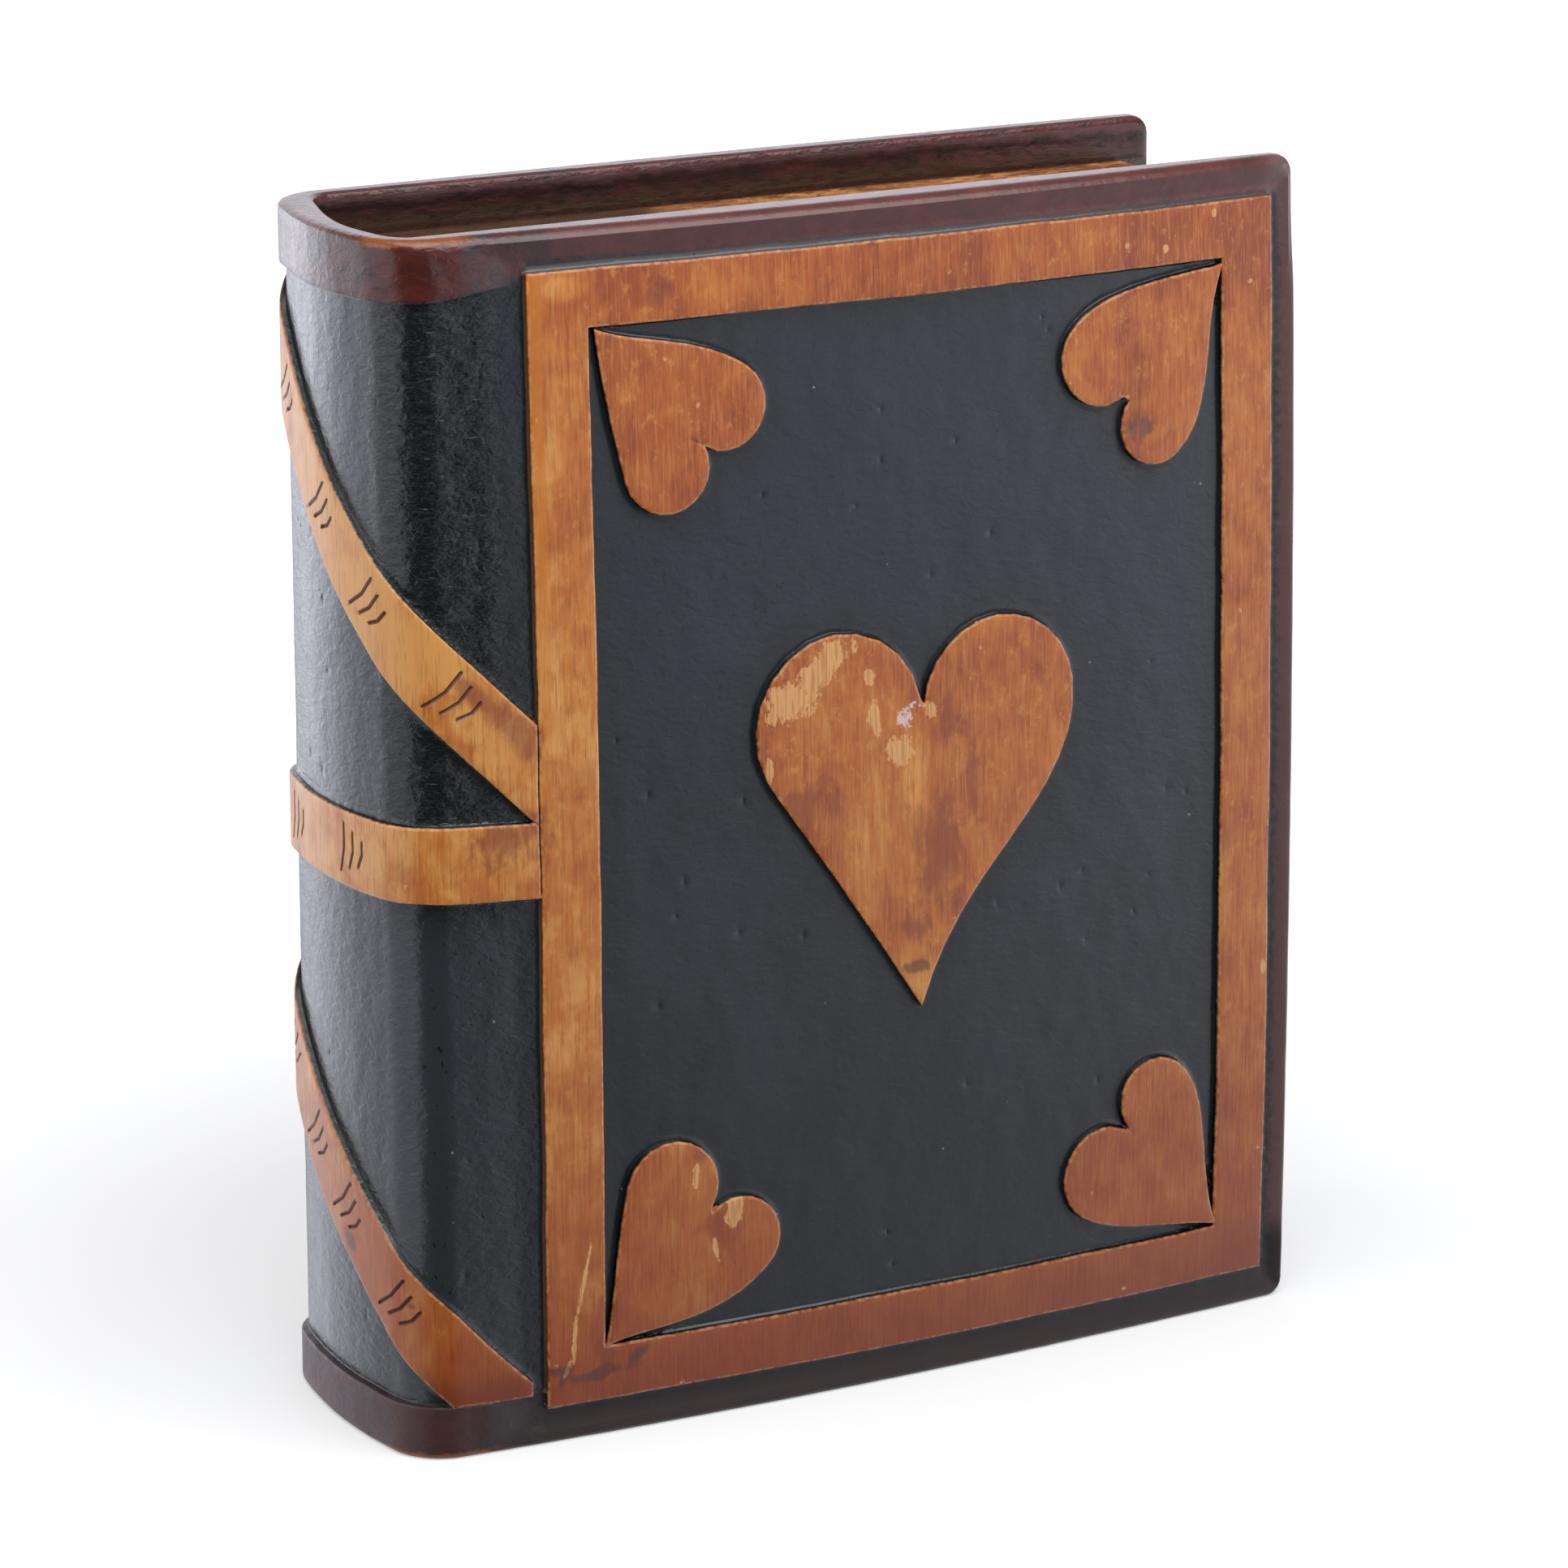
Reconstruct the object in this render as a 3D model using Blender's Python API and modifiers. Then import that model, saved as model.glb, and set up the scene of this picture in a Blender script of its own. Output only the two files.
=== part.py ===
"""Carved spruce gum box in the shape of a small book, standing upright.

The box is one carved block with a sliding lid under its head.
The outside is drawn flat, as a strip that runs from the back cover, round the
spine, to the front cover, carved there, and then bent round the book's outline.
Metres, +Z up, front cover towards -Y, spine at -X, origin at the bottom centre.
"""
import math

import bmesh
import bpy
from mathutils import Vector

# Whole book
HEIGHT = 0.150
WIDTH = 0.1256            # spine to fore-edge
EDGE_DEPTH = 0.0387       # over both boards at the fore-edge
WALL = 0.0034             # boards and spine at their thinnest
FRONT_BULGE = 0.0027      # front cover's swell across its width
FRONT_BOW = 0.0012        # the same up its height
BACK_BULGE = 0.0006
BACK_BOW = 0.0006
SPINE_SWELL = 0.0026
SPINE_CORNER = 0.0075     # radius where the spine turns into a cover
BOARD_CORNER = 0.0022     # radius of the covers' corners at the fore-edge

# Page block, hollow and lid
EDGE_INSET = 0.0054       # page block below the boards at head and tail
FORE_INSET = 0.0047       # and behind them at the fore-edge
BLOCK_BITE = 0.0010       # how far the page block runs into the boards
SPINE_WOOD = 0.0105       # wood left of the hollow
FORE_WOOD = 0.0060        # wood between the hollow and the fore-edge
SIDE_LEDGE = 0.0022       # ledge beside the hollow that carries the lid
FLOOR_WOOD = 0.0060
HOLLOW_CORNER = 0.0030
LID_THICK = 0.0040
LID_START = 0.0096        # lid's inner end, from the spine's face
LID_BEVEL = 0.25          # how far the lid's sides lean out for each unit down
GAP = 0.0003              # running gap round the lid

# Relief
RELIEF = 0.0009           # depth of the sunk ground
SPINE_HEAD = 0.1425       # lower edge of the spine's head band
SPINE_TAIL = 0.0068       # upper edge of its tail band
FRAME_LEFT = 0.0191       # frame's outer edges
FRAME_RIGHT = 0.1218
FRAME_FOOT = 0.0046
FRAME_HEAD = 0.1451
STILE = 0.0076
RAIL = 0.0070
TRENCH = 0.0012           # sunk line between frame and border
BORDER_RUN = 0.0080       # length of the border's slope towards the spine
BORDER_LAND = 0.0004      # level strip left along the covers' edges
BAND_GAP = 0.0010         # sunk line between the spine's bands and the frame
BAND_FOOT = 0.0697        # spine's level band
BAND_HEAD = 0.0790
SLANT_RISE = 0.0124       # height of a slanting band, measured upright
UPPER_SLANT = (0.0784, 0.1400)      # its lower edge's heights, front and back
LOWER_SLANT = (0.0074, 0.0675)      # the lower one's upper edge
CENTRE_HEART = (0.0486, 0.0222)     # length and half width
CORNER_HEART = (0.0250, 0.0102)
CENTRE_TIP = (0.0702, 0.0488)
TIP_CLEAR = 0.0005        # corner heart's tip to the frame's inner corner
HEART_POINTS = 9          # points on each lobe, and on each side below it

# Length of the steps that the bent surface is divided into
COVER_STEP = 0.0114
SPINE_STEP = 0.0060
CORNER_STEPS = 6
ROW_STEP = 0.025

HALF_DEPTH = EDGE_DEPTH / 2
INNER_HALF = HALF_DEPTH - WALL
BLOCK_FOOT = EDGE_INSET
BLOCK_HEAD = HEIGHT - EDGE_INSET
BLOCK_END = WIDTH - FORE_INSET
OVERSHOOT = 0.001         # how far a cutter stands out of what it cuts
FRONT_REACH = HALF_DEPTH + FRONT_BULGE + FRONT_BOW
BACK_REACH = HALF_DEPTH + BACK_BULGE + BACK_BOW
CENTRE_SHIFT = Vector((-WIDTH / 2, (FRONT_REACH - BACK_REACH) / 2, 0.0))


# Outline of the book seen from above

class HalfOutline:
    """One half of the outline: half the spine, a rounded corner and a cover.

    Three arcs touch each other, so the length along them gives a place and a
    direction. Depth is counted towards the viewer who faces the cover.
    """

    def __init__(self, bulge):
        self.spine_radius = (HALF_DEPTH ** 2 + SPINE_SWELL ** 2) / (2 * SPINE_SWELL)
        self.cover_radius = ((WIDTH / 2) ** 2 + bulge ** 2) / (2 * bulge)
        self.spine_centre = Vector((self.spine_radius, 0.0))
        self.cover_centre = Vector((WIDTH / 2, self.cover_radius - HALF_DEPTH - bulge))
        self.corner_centre = self.find_corner_centre()
        to_spine = self.corner_centre - self.spine_centre
        to_cover = self.corner_centre - self.cover_centre
        self.turn_one = math.atan2(-to_spine.y, -to_spine.x)
        self.turn_two = math.atan2(-to_cover.y, -to_cover.x)
        self.length_one = self.spine_radius * self.turn_one
        self.length_two = self.length_one + SPINE_CORNER * (self.turn_two - self.turn_one)
        end_turn = math.pi / 2 + math.asin(WIDTH / 2 / self.cover_radius)
        self.length = self.length_two + self.cover_radius * (end_turn - self.turn_two)

    def find_corner_centre(self):
        """Centre of the corner arc, which touches the two large arcs inside."""
        reach_one = self.spine_radius - SPINE_CORNER
        reach_two = self.cover_radius - SPINE_CORNER
        between = self.cover_centre - self.spine_centre
        apart = between.length
        along = (reach_one ** 2 - reach_two ** 2 + apart ** 2) / (2 * apart)
        across = math.sqrt(reach_one ** 2 - along ** 2)
        direction = between / apart
        sideways = Vector((direction.y, -direction.x))
        ends = [self.spine_centre + direction * along + sideways * across * turn for turn in (-1, 1)]
        return min(ends, key=lambda end: end.x)

    def place(self, length, height):
        """Point at a length along the outline, and a height above its surface."""
        if length < self.length_one:
            centre, radius, turn = self.spine_centre, self.spine_radius, length / self.spine_radius
        elif length < self.length_two:
            turn = self.turn_one + (length - self.length_one) / SPINE_CORNER
            centre, radius = self.corner_centre, SPINE_CORNER
        else:
            turn = self.turn_two + (length - self.length_two) / self.cover_radius
            centre, radius = self.cover_centre, self.cover_radius
        return centre - (radius + height) * Vector((math.cos(turn), math.sin(turn)))

    def length_at(self, x):
        """Length along the outline of a point on the cover, from its distance x."""
        turn = math.pi / 2 + math.asin((x - WIDTH / 2) / self.cover_radius)
        return self.length_two + self.cover_radius * (turn - self.turn_two)


FRONT = HalfOutline(FRONT_BULGE)
BACK = HalfOutline(BACK_BULGE)


def smooth(value):
    value = min(max(value, 0.0), 1.0)
    return value * value * (3 - 2 * value)


def bend(flat):
    """Carry a point of the flat strip to its place on the book.

    flat.x runs round the book, zero on the spine and positive to the front,
    flat.y is the height above the table and flat.z the height off the surface.
    """
    half, side, bow = (FRONT, 1, FRONT_BOW) if flat.x >= 0 else (BACK, -1, BACK_BOW)
    length = abs(flat.x)
    place = half.place(length, flat.z)
    if flat.z <= -WALL + GAP:
        place.y = max(place.y, -INNER_HALF)
    else:
        reach = (length - half.length_one) / (half.length_at(FRAME_LEFT) - half.length_one)
        upright = (flat.y - HEIGHT / 2) / (HEIGHT / 2)
        place.y -= bow * smooth(reach) * (1 - upright ** 2)
    return Vector((place.x, place.y * side, flat.y)) + CENTRE_SHIFT


# Objects, outlines and cuts

def new_collection(name):
    collection = bpy.data.collections.new(name)
    bpy.context.scene.collection.children.link(collection)
    return collection


def new_material(name, colour, roughness):
    material = bpy.data.materials.new(name)
    material.use_nodes = True
    shader = material.node_tree.nodes["Principled BSDF"]
    shader.inputs["Base Color"].default_value = (*colour, 1.0)
    shader.inputs["Roughness"].default_value = roughness
    shader.inputs["Metallic"].default_value = 0.0
    return material


def keep_as_mesh(source, name, collection):
    """Replace a curve, or a mesh with modifiers, by its finished mesh in place."""
    bpy.context.view_layer.update()
    evaluated = source.evaluated_get(bpy.context.evaluated_depsgraph_get())
    mesh = bpy.data.meshes.new_from_object(evaluated)
    work = bmesh.new()
    work.from_mesh(mesh)
    bmesh.ops.remove_doubles(work, verts=work.verts, dist=0.000001)
    work.to_mesh(mesh)
    work.free()
    mesh.transform(source.matrix_world)
    bpy.data.objects.remove(source)
    result = bpy.data.objects.new(name, mesh)
    collection.objects.link(result)
    return result


def flat_solid(name, loops, low, high, collection):
    """Solid with a flat outline, from low to high along Z. Inner loops are holes."""
    curve = bpy.data.curves.new(name, "CURVE")
    curve.dimensions = "2D"
    curve.fill_mode = "BOTH"
    curve.extrude = (high - low) / 2
    for loop in loops:
        spline = curve.splines.new("POLY")
        spline.points.add(len(loop) - 1)
        for point, (x, y) in zip(spline.points, loop):
            point.co = (x, y, 0.0, 1.0)
        spline.use_cyclic_u = True
    holder = bpy.data.objects.new(name, curve)
    holder.location.z = (low + high) / 2
    collection.objects.link(holder)
    return keep_as_mesh(holder, name, collection)


def apply_cut(target, tool, operation, collection):
    """Cut the target with a tool, or join the tool to it, and keep the result."""
    modifier = target.modifiers.new(operation.title(), "BOOLEAN")
    modifier.operation = operation
    modifier.solver = "EXACT"
    modifier.object = tool
    return keep_as_mesh(target, target.name, collection)


def corner_arc(centre, radius, start, steps=4):
    return [
        (centre[0] + radius * math.cos(start + math.pi / 2 * step / steps),
         centre[1] + radius * math.sin(start + math.pi / 2 * step / steps))
        for step in range(steps + 1)
    ]


def rectangle(left, right, foot, head):
    return [(left, foot), (right, foot), (right, head), (left, head)]


# Hearts

def heart(size, tip, angle, lean):
    """Outline of a heart, from its tip, with its axis turned by angle.

    Each lobe is an arc of a circle, and a side runs from it to the tip as a
    Bezier curve. lean is how far the side leans out where it leaves the tip.
    """
    length, half_width = size
    radius = half_width / 2
    centre = Vector((radius * 1.01, length - radius))
    start, stop = math.radians(-25), math.radians(172)
    shoulder = centre + radius * Vector((math.cos(start), math.sin(start)))
    pull_high = shoulder + 0.185 * length * Vector((math.sin(start), -math.cos(start)))
    pull_low = 0.247 * length * Vector((lean, 1.0)).normalized()
    right = []
    for step in range(1, HEART_POINTS):
        share = step / HEART_POINTS
        rest = 1 - share
        right.append(3 * rest * rest * share * pull_low + 3 * rest * share * share * pull_high
                     + share ** 3 * shoulder)
    for step in range(HEART_POINTS):
        turn = start + (stop - start) * step / (HEART_POINTS - 1)
        right.append(centre + radius * Vector((math.cos(turn), math.sin(turn))))
    left = [Vector((-point.x, point.y)) for point in reversed(right)]
    notch = Vector((0.0, right[-1].y - 0.06 * length))
    outline = [Vector((0.0, 0.0))] + right + [notch] + left
    spin_x = Vector((math.cos(angle), math.sin(angle)))
    spin_y = Vector((-math.sin(angle), math.cos(angle)))
    placed = [Vector(tip) + point.x * spin_x + point.y * spin_y for point in outline]
    return [(point.x, point.y) for point in placed]


def centre_heart(half, side):
    """Heart in the middle of a cover, its tip down."""
    return heart(CENTRE_HEART, (side * half.length_at(CENTRE_TIP[0]), CENTRE_TIP[1]), 0.0, 0.30)


def corner_hearts(half):
    """Four hearts with their tips in the frame's inner corners."""
    near = half.length_at(FRAME_LEFT) + STILE
    far = half.length_at(FRAME_RIGHT) - STILE
    foot = FRAME_FOOT + RAIL
    head = FRAME_HEAD - RAIL
    hearts = []
    for x, step_x in ((near, 1), (far, -1)):
        for y, step_y in ((foot, 1), (head, -1)):
            tip = (x + step_x * TIP_CLEAR, y + step_y * TIP_CLEAR)
            angle = math.atan2(step_y, step_x) - math.pi / 2
            hearts.append(heart(CORNER_HEART, tip, angle, 0.50))
    return hearts


# Parts of the flat strip

def make_strip(collection):
    """The plain strip, as high as the book and as thick as its walls."""
    left, right, low, high = -BACK.length, FRONT.length, BOARD_CORNER, HEIGHT - BOARD_CORNER
    outline = (
        corner_arc((right - low, low), BOARD_CORNER, -math.pi / 2)
        + corner_arc((right - low, high), BOARD_CORNER, 0.0)
        + corner_arc((left + low, high), BOARD_CORNER, math.pi / 2)
        + corner_arc((left + low, low), BOARD_CORNER, math.pi)
    )
    return flat_solid("gum_box_case", [outline], -WALL, 0.0, collection)


def make_cover_cutter(half, side, hearts, cutters):
    """Tray to be sunk in a cover, with sloping rims, round its frame and hearts."""
    near = half.length_at(FRAME_LEFT)
    far = half.length_at(FRAME_RIGHT)
    floor = (near - BAND_GAP, far + TRENCH, FRAME_FOOT - TRENCH, FRAME_HEAD + TRENCH)
    rim = (near - BORDER_RUN, half.length - BORDER_LAND, BORDER_LAND, HEIGHT - BORDER_LAND)
    rise = 1 + OVERSHOOT / RELIEF
    work = bmesh.new()
    rings = []
    for share, height in ((0.0, -RELIEF), (rise, OVERSHOOT)):
        edges = [inner + (outer - inner) * share for inner, outer in zip(floor, rim)]
        corners = rectangle(*edges)
        rings.append([work.verts.new((side * x, y, height)) for x, y in corners])
    work.faces.new(rings[0])
    work.faces.new(rings[1])
    for index in range(4):
        after = (index + 1) % 4
        work.faces.new((rings[0][index], rings[0][after], rings[1][after], rings[1][index]))
    bmesh.ops.recalc_face_normals(work, faces=work.faces)
    mesh = bpy.data.meshes.new("cover_tray")
    work.to_mesh(mesh)
    work.free()
    tray = bpy.data.objects.new("cover_tray", mesh)
    cutters.objects.link(tray)
    outer = rectangle(*sorted((side * near, side * far)), FRAME_FOOT, FRAME_HEAD)
    inner = rectangle(*sorted((side * (near + STILE), side * (far - STILE))),
                      FRAME_FOOT + RAIL, FRAME_HEAD - RAIL)
    low, high = -2 * RELIEF, 2 * OVERSHOOT
    frame = flat_solid("cover_frame", [outer, inner], low, high, cutters)
    tray = apply_cut(tray, frame, "DIFFERENCE", cutters)
    for loop in hearts:
        raised = flat_solid("cover_heart", [loop], low, high, cutters)
        tray = apply_cut(tray, raised, "DIFFERENCE", cutters)
    return tray


def make_spine_cutter(cutters):
    """Ground to be sunk in the spine, round its level and slanting bands."""
    reach = FRONT.length_at(FRAME_LEFT)
    back_reach = BACK.length_at(FRAME_LEFT)
    low, high = -RELIEF, OVERSHOOT
    ground = flat_solid("spine_ground", [rectangle(-back_reach, reach, SPINE_TAIL, SPINE_HEAD)],
                        low, high, cutters)
    start, stop = reach - BAND_GAP, -(back_reach - BAND_GAP)
    level = rectangle(stop, start, BAND_FOOT, BAND_HEAD)
    upper = [(start, UPPER_SLANT[0]), (start, UPPER_SLANT[0] + SLANT_RISE),
             (stop, UPPER_SLANT[1] + SLANT_RISE), (stop, UPPER_SLANT[1])]
    lower = [(start, LOWER_SLANT[0] - SLANT_RISE), (start, LOWER_SLANT[0]),
             (stop, LOWER_SLANT[1]), (stop, LOWER_SLANT[1] - SLANT_RISE)]
    for loop in (level, upper, lower):
        band = flat_solid("spine_band", [loop], 2 * low, 2 * high, cutters)
        ground = apply_cut(ground, band, "DIFFERENCE", cutters)
    return ground


def cut_lengths():
    """Lengths round the book where the strip is divided, so that it can bend."""
    lengths = [0.0]
    for half, side in ((FRONT, 1), (BACK, -1)):
        pieces = max(2, round(half.length_one / SPINE_STEP))
        lengths += [side * half.length_one * (step + 1) / pieces for step in range(pieces)]
        arc = half.length_two - half.length_one
        lengths += [side * (half.length_one + arc * (step + 1) / CORNER_STEPS) for step in range(CORNER_STEPS)]
        middle = half.length_at(WIDTH / 2)
        for start, stop in ((half.length_two, middle), (middle, half.length)):
            pieces = round((stop - start) / COVER_STEP)
            lengths += [side * (start + (stop - start) * (step + 1) / pieces) for step in range(pieces)]
    return lengths


def bend_strip(strip):
    """Divide the flat strip and bend it round the book."""
    work = bmesh.new()
    work.from_mesh(strip.data)
    cuts = [((length, 0.0, 0.0), (1.0, 0.0, 0.0)) for length in cut_lengths()]
    rows = round(HEIGHT / ROW_STEP)
    cuts += [((0.0, HEIGHT * row / rows, 0.0), (0.0, 1.0, 0.0)) for row in range(1, rows)]
    for place, normal in cuts:
        geometry = work.verts[:] + work.edges[:] + work.faces[:]
        bmesh.ops.bisect_plane(work, geom=geometry, dist=0.00001, plane_co=place, plane_no=normal)
    bmesh.ops.remove_doubles(work, verts=work.verts, dist=0.00002)
    bmesh.ops.triangulate(work, faces=work.faces)
    for vertex in work.verts:
        vertex.co = bend(vertex.co)
    work.to_mesh(strip.data)
    work.free()


# Page block, hollow and lid

def block_outline():
    """Page block seen from above: round at the spine, square at the fore-edge."""
    end = BLOCK_END + CENTRE_SHIFT.x
    reach = INNER_HALF + BLOCK_BITE
    steps = 2 * CORNER_STEPS
    rows = []
    for half, side in ((FRONT, 1), (BACK, -1)):
        places = [half.place(half.length_two * step / steps, BLOCK_BITE - WALL) for step in range(steps + 1)]
        row = [(place.x + CENTRE_SHIFT.x, side * place.y + CENTRE_SHIFT.y)
               for place in places if place.y > -reach + GAP]
        row.append((end, CENTRE_SHIFT.y - side * reach))
        rows.append(row)
    front_row, back_row = rows
    return front_row + list(reversed(back_row[1:]))


def lid_outline(gap, foot, head):
    """Section of the lid, or of its groove, seen from the fore-edge: (y, z)."""
    side_gap = gap * math.sqrt(1 + LID_BEVEL ** 2)
    widths = []
    for level in (foot, head):
        half = INNER_HALF - GAP + side_gap + (BLOCK_HEAD - level) * LID_BEVEL
        widths.append((half, level))
    (low_half, low), (high_half, high) = widths
    centre = CENTRE_SHIFT.y
    return [(centre - low_half, low), (centre + low_half, low),
            (centre + high_half, high), (centre - high_half, high)]


def lengthwise_solid(name, section, start, stop, collection):
    """Solid with a (y, z) section, from start to stop along X."""
    solid = flat_solid(name, [section], 0.0, stop - start, collection)
    for vertex in solid.data.vertices:
        across, up, along = vertex.co
        vertex.co = (start + CENTRE_SHIFT.x + along, across, up)
    return solid


def make_hollow_cutter(cutters):
    """The hollow inside the page block, open at its head, with rounded corners."""
    left, right = SPINE_WOOD, BLOCK_END - FORE_WOOD
    half = INNER_HALF - SIDE_LEDGE
    foot, head = BLOCK_FOOT + FLOOR_WOOD, BLOCK_HEAD + OVERSHOOT
    bpy.ops.mesh.primitive_cube_add(size=1.0)
    cutter = bpy.context.object
    cutter.name = "hollow"
    for vertex in cutter.data.vertices:
        vertex.co.x *= right - left
        vertex.co.y *= 2 * half
        vertex.co.z *= head - foot
    cutter.location = ((left + right) / 2 + CENTRE_SHIFT.x, CENTRE_SHIFT.y, (foot + head) / 2)
    bevel = cutter.modifiers.new("Rounded corners", "BEVEL")
    bevel.width = HOLLOW_CORNER
    bevel.segments = 3
    bevel.affect = "EDGES"
    bevel.limit_method = "WEIGHT"
    weights = cutter.data.attributes.new("bevel_weight_edge", "FLOAT", "EDGE")
    for edge in cutter.data.edges:
        ends = [cutter.data.vertices[index].co for index in edge.vertices]
        if abs(ends[0].z - ends[1].z) > half:
            weights.data[edge.index].value = 1.0
    return keep_as_mesh(cutter, "hollow", cutters)


def make_case(parts, cutters):
    strip = make_strip(parts)
    front_cutter = make_cover_cutter(
        FRONT, 1, [centre_heart(FRONT, 1)] + corner_hearts(FRONT), cutters)
    back_cutter = make_cover_cutter(BACK, -1, [centre_heart(BACK, -1)], cutters)
    spine_cutter = make_spine_cutter(cutters)
    for cutter in (front_cutter, back_cutter, spine_cutter):
        strip = apply_cut(strip, cutter, "DIFFERENCE", parts)
    bend_strip(strip)
    block = flat_solid("page_block", [block_outline()], BLOCK_FOOT, BLOCK_HEAD, cutters)
    case = apply_cut(strip, block, "UNION", parts)
    case = apply_cut(case, make_hollow_cutter(cutters), "DIFFERENCE", parts)
    ledge = BLOCK_HEAD - LID_THICK - GAP
    groove_section = lid_outline(GAP, ledge, BLOCK_HEAD + OVERSHOOT)
    groove = lengthwise_solid("groove", groove_section, LID_START - GAP, WIDTH + OVERSHOOT, cutters)
    case = apply_cut(case, groove, "DIFFERENCE", parts)
    case.data.materials.clear()
    case.data.materials.append(new_material("carved_wood", (0.30, 0.13, 0.06), 0.45))
    return case


def make_lid(parts):
    section = lid_outline(0.0, BLOCK_HEAD - LID_THICK, BLOCK_HEAD)
    lid = lengthwise_solid("sliding_lid", section, LID_START, BLOCK_END, parts)
    lid.data.materials.append(new_material("lid_wood", (0.48, 0.27, 0.10), 0.5))
    return lid


def main():
    for thing in list(bpy.data.objects):
        bpy.data.objects.remove(thing, do_unlink=True)
    parts = new_collection("gum_box")
    cutters = new_collection("cutters")
    make_case(parts, cutters)
    make_lid(parts)
    for cutter in cutters.objects:
        cutter.hide_render = True
        cutter.display_type = "WIRE"


main()
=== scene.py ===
"""Looks of a spruce gum box carved as a small book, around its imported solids.

The outside is drawn flat, as a strip that runs from the back cover, round the
spine, to the front cover. Its points lie close along every cut edge, get their
height there, and are then bent round the book. Strip sizes are in millimetres;
the bent meshes, the camera and the lights are in metres.
"""
import math
import random

import bmesh
import bpy
import numpy as np
from mathutils import Matrix, Vector, geometry, noise


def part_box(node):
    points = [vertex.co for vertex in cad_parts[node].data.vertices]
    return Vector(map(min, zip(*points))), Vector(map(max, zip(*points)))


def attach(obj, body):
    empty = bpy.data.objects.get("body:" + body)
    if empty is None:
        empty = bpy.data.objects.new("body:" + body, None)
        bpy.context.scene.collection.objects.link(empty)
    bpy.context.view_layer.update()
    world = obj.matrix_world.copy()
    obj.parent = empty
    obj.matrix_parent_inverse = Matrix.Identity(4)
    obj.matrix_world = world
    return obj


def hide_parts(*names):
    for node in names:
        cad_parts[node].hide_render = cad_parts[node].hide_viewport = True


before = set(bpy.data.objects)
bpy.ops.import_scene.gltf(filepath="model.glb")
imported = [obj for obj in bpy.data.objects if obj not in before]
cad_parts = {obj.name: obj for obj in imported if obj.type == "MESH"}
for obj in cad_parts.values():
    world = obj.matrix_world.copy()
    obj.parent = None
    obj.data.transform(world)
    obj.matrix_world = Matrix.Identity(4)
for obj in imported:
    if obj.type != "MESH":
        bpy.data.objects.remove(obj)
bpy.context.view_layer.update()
MM = 0.001

# The book, as in the solids
HEIGHT = 150.0
WIDTH = 125.6
EDGE_DEPTH = 38.7
WALL = 3.4
FRONT_BULGE = 2.7
FRONT_BOW = 1.2
BACK_BULGE = 0.6
BACK_BOW = 0.6
SPINE_SWELL = 2.6
SPINE_CORNER = 7.5
BOARD_CORNER = 2.2
EDGE_INSET = 5.4
FORE_INSET = 4.7
BLOCK_BITE = 1.0
SPINE_WOOD = 10.5
FORE_WOOD = 6.0
SIDE_LEDGE = 2.2
FLOOR_WOOD = 6.0
HOLLOW_CORNER = 3.0
LID_THICK = 4.0
LID_START = 9.6
LID_BEVEL = 0.25
GAP = 0.3

# The carving, as in the solids
RELIEF = 0.9
FRAME_LEFT = 19.1
FRAME_RIGHT = 121.8
FRAME_FOOT = 4.6
FRAME_HEAD = 145.1
STILE = 7.6
RAIL = 7.0
TRENCH = 1.2
BORDER_RUN = 8.0
BORDER_LAND = 0.4
BAND_GAP = 1.0
BAND_FOOT = 69.7
BAND_HEAD = 79.0
SLANT_RISE = 12.4
UPPER_SLANT = (78.4, 140.0)
LOWER_SLANT = (7.4, 67.5)

# Hearts on the front cover: tip (along the strip, up), turn in degrees, notch (across, up
# from the tip), and for the right and the left side its length, its width, the part of the
# width beyond the lobe's radius, the degrees at which the lobe starts, the pulls of the
# side's curve at the tip and at the lobe, and the side's lean at the tip
CENTRE_HEART = ((85.9, 48.8), 3.0, (2.2, 38.9),
                (47.8, 23.7, 0.55, 4, 0.37, 0.31, 0.33), (49.2, 20.7, 0.45, -27, 0.50, 0.15, 0.57))
CORNER_HEARTS = (
    ((43.2, 137.8), -140.3, (-1.2, 20.8),
     (24.7, 9.8, 0.44, -25, 0.30, 0.25, 0.63), (24.2, 11.5, 0.52, -16, 0.23, 0.29, 0.53)),
    ((130.0, 137.3), 132.4, (-0.4, 21.0),
     (25.7, 10.8, 0.44, -3, 0.18, 0.27, 0.68), (25.2, 12.2, 0.58, 5, 0.34, 0.30, 0.49)),
    ((42.6, 11.5), -39.9, (1.3, 21.7),
     (25.5, 12.3, 0.55, -7, 0.19, 0.38, 0.55), (26.4, 11.4, 0.46, -27, 0.23, 0.26, 0.55)),
    ((130.4, 11.9), 47.7, (1.4, 21.3),
     (25.2, 12.8, 0.58, -10, 0.30, 0.27, 0.48), (25.7, 10.5, 0.40, -11, 0.34, 0.24, 0.52)),
)
LOBE_STOP = 172
NOTCH_ROOM = 0.15
HEART_POINTS = 12

# Edges of the spine's head and tail bands: distance from the spine, height
HEAD_EDGE = ((0.0, 142.5), (8.0, 142.6), (13.4, 143.4), (16.9, 143.9), (19.1, 145.0))
TAIL_EDGE = ((0.0, 6.8), (19.1, 6.6))

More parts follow.
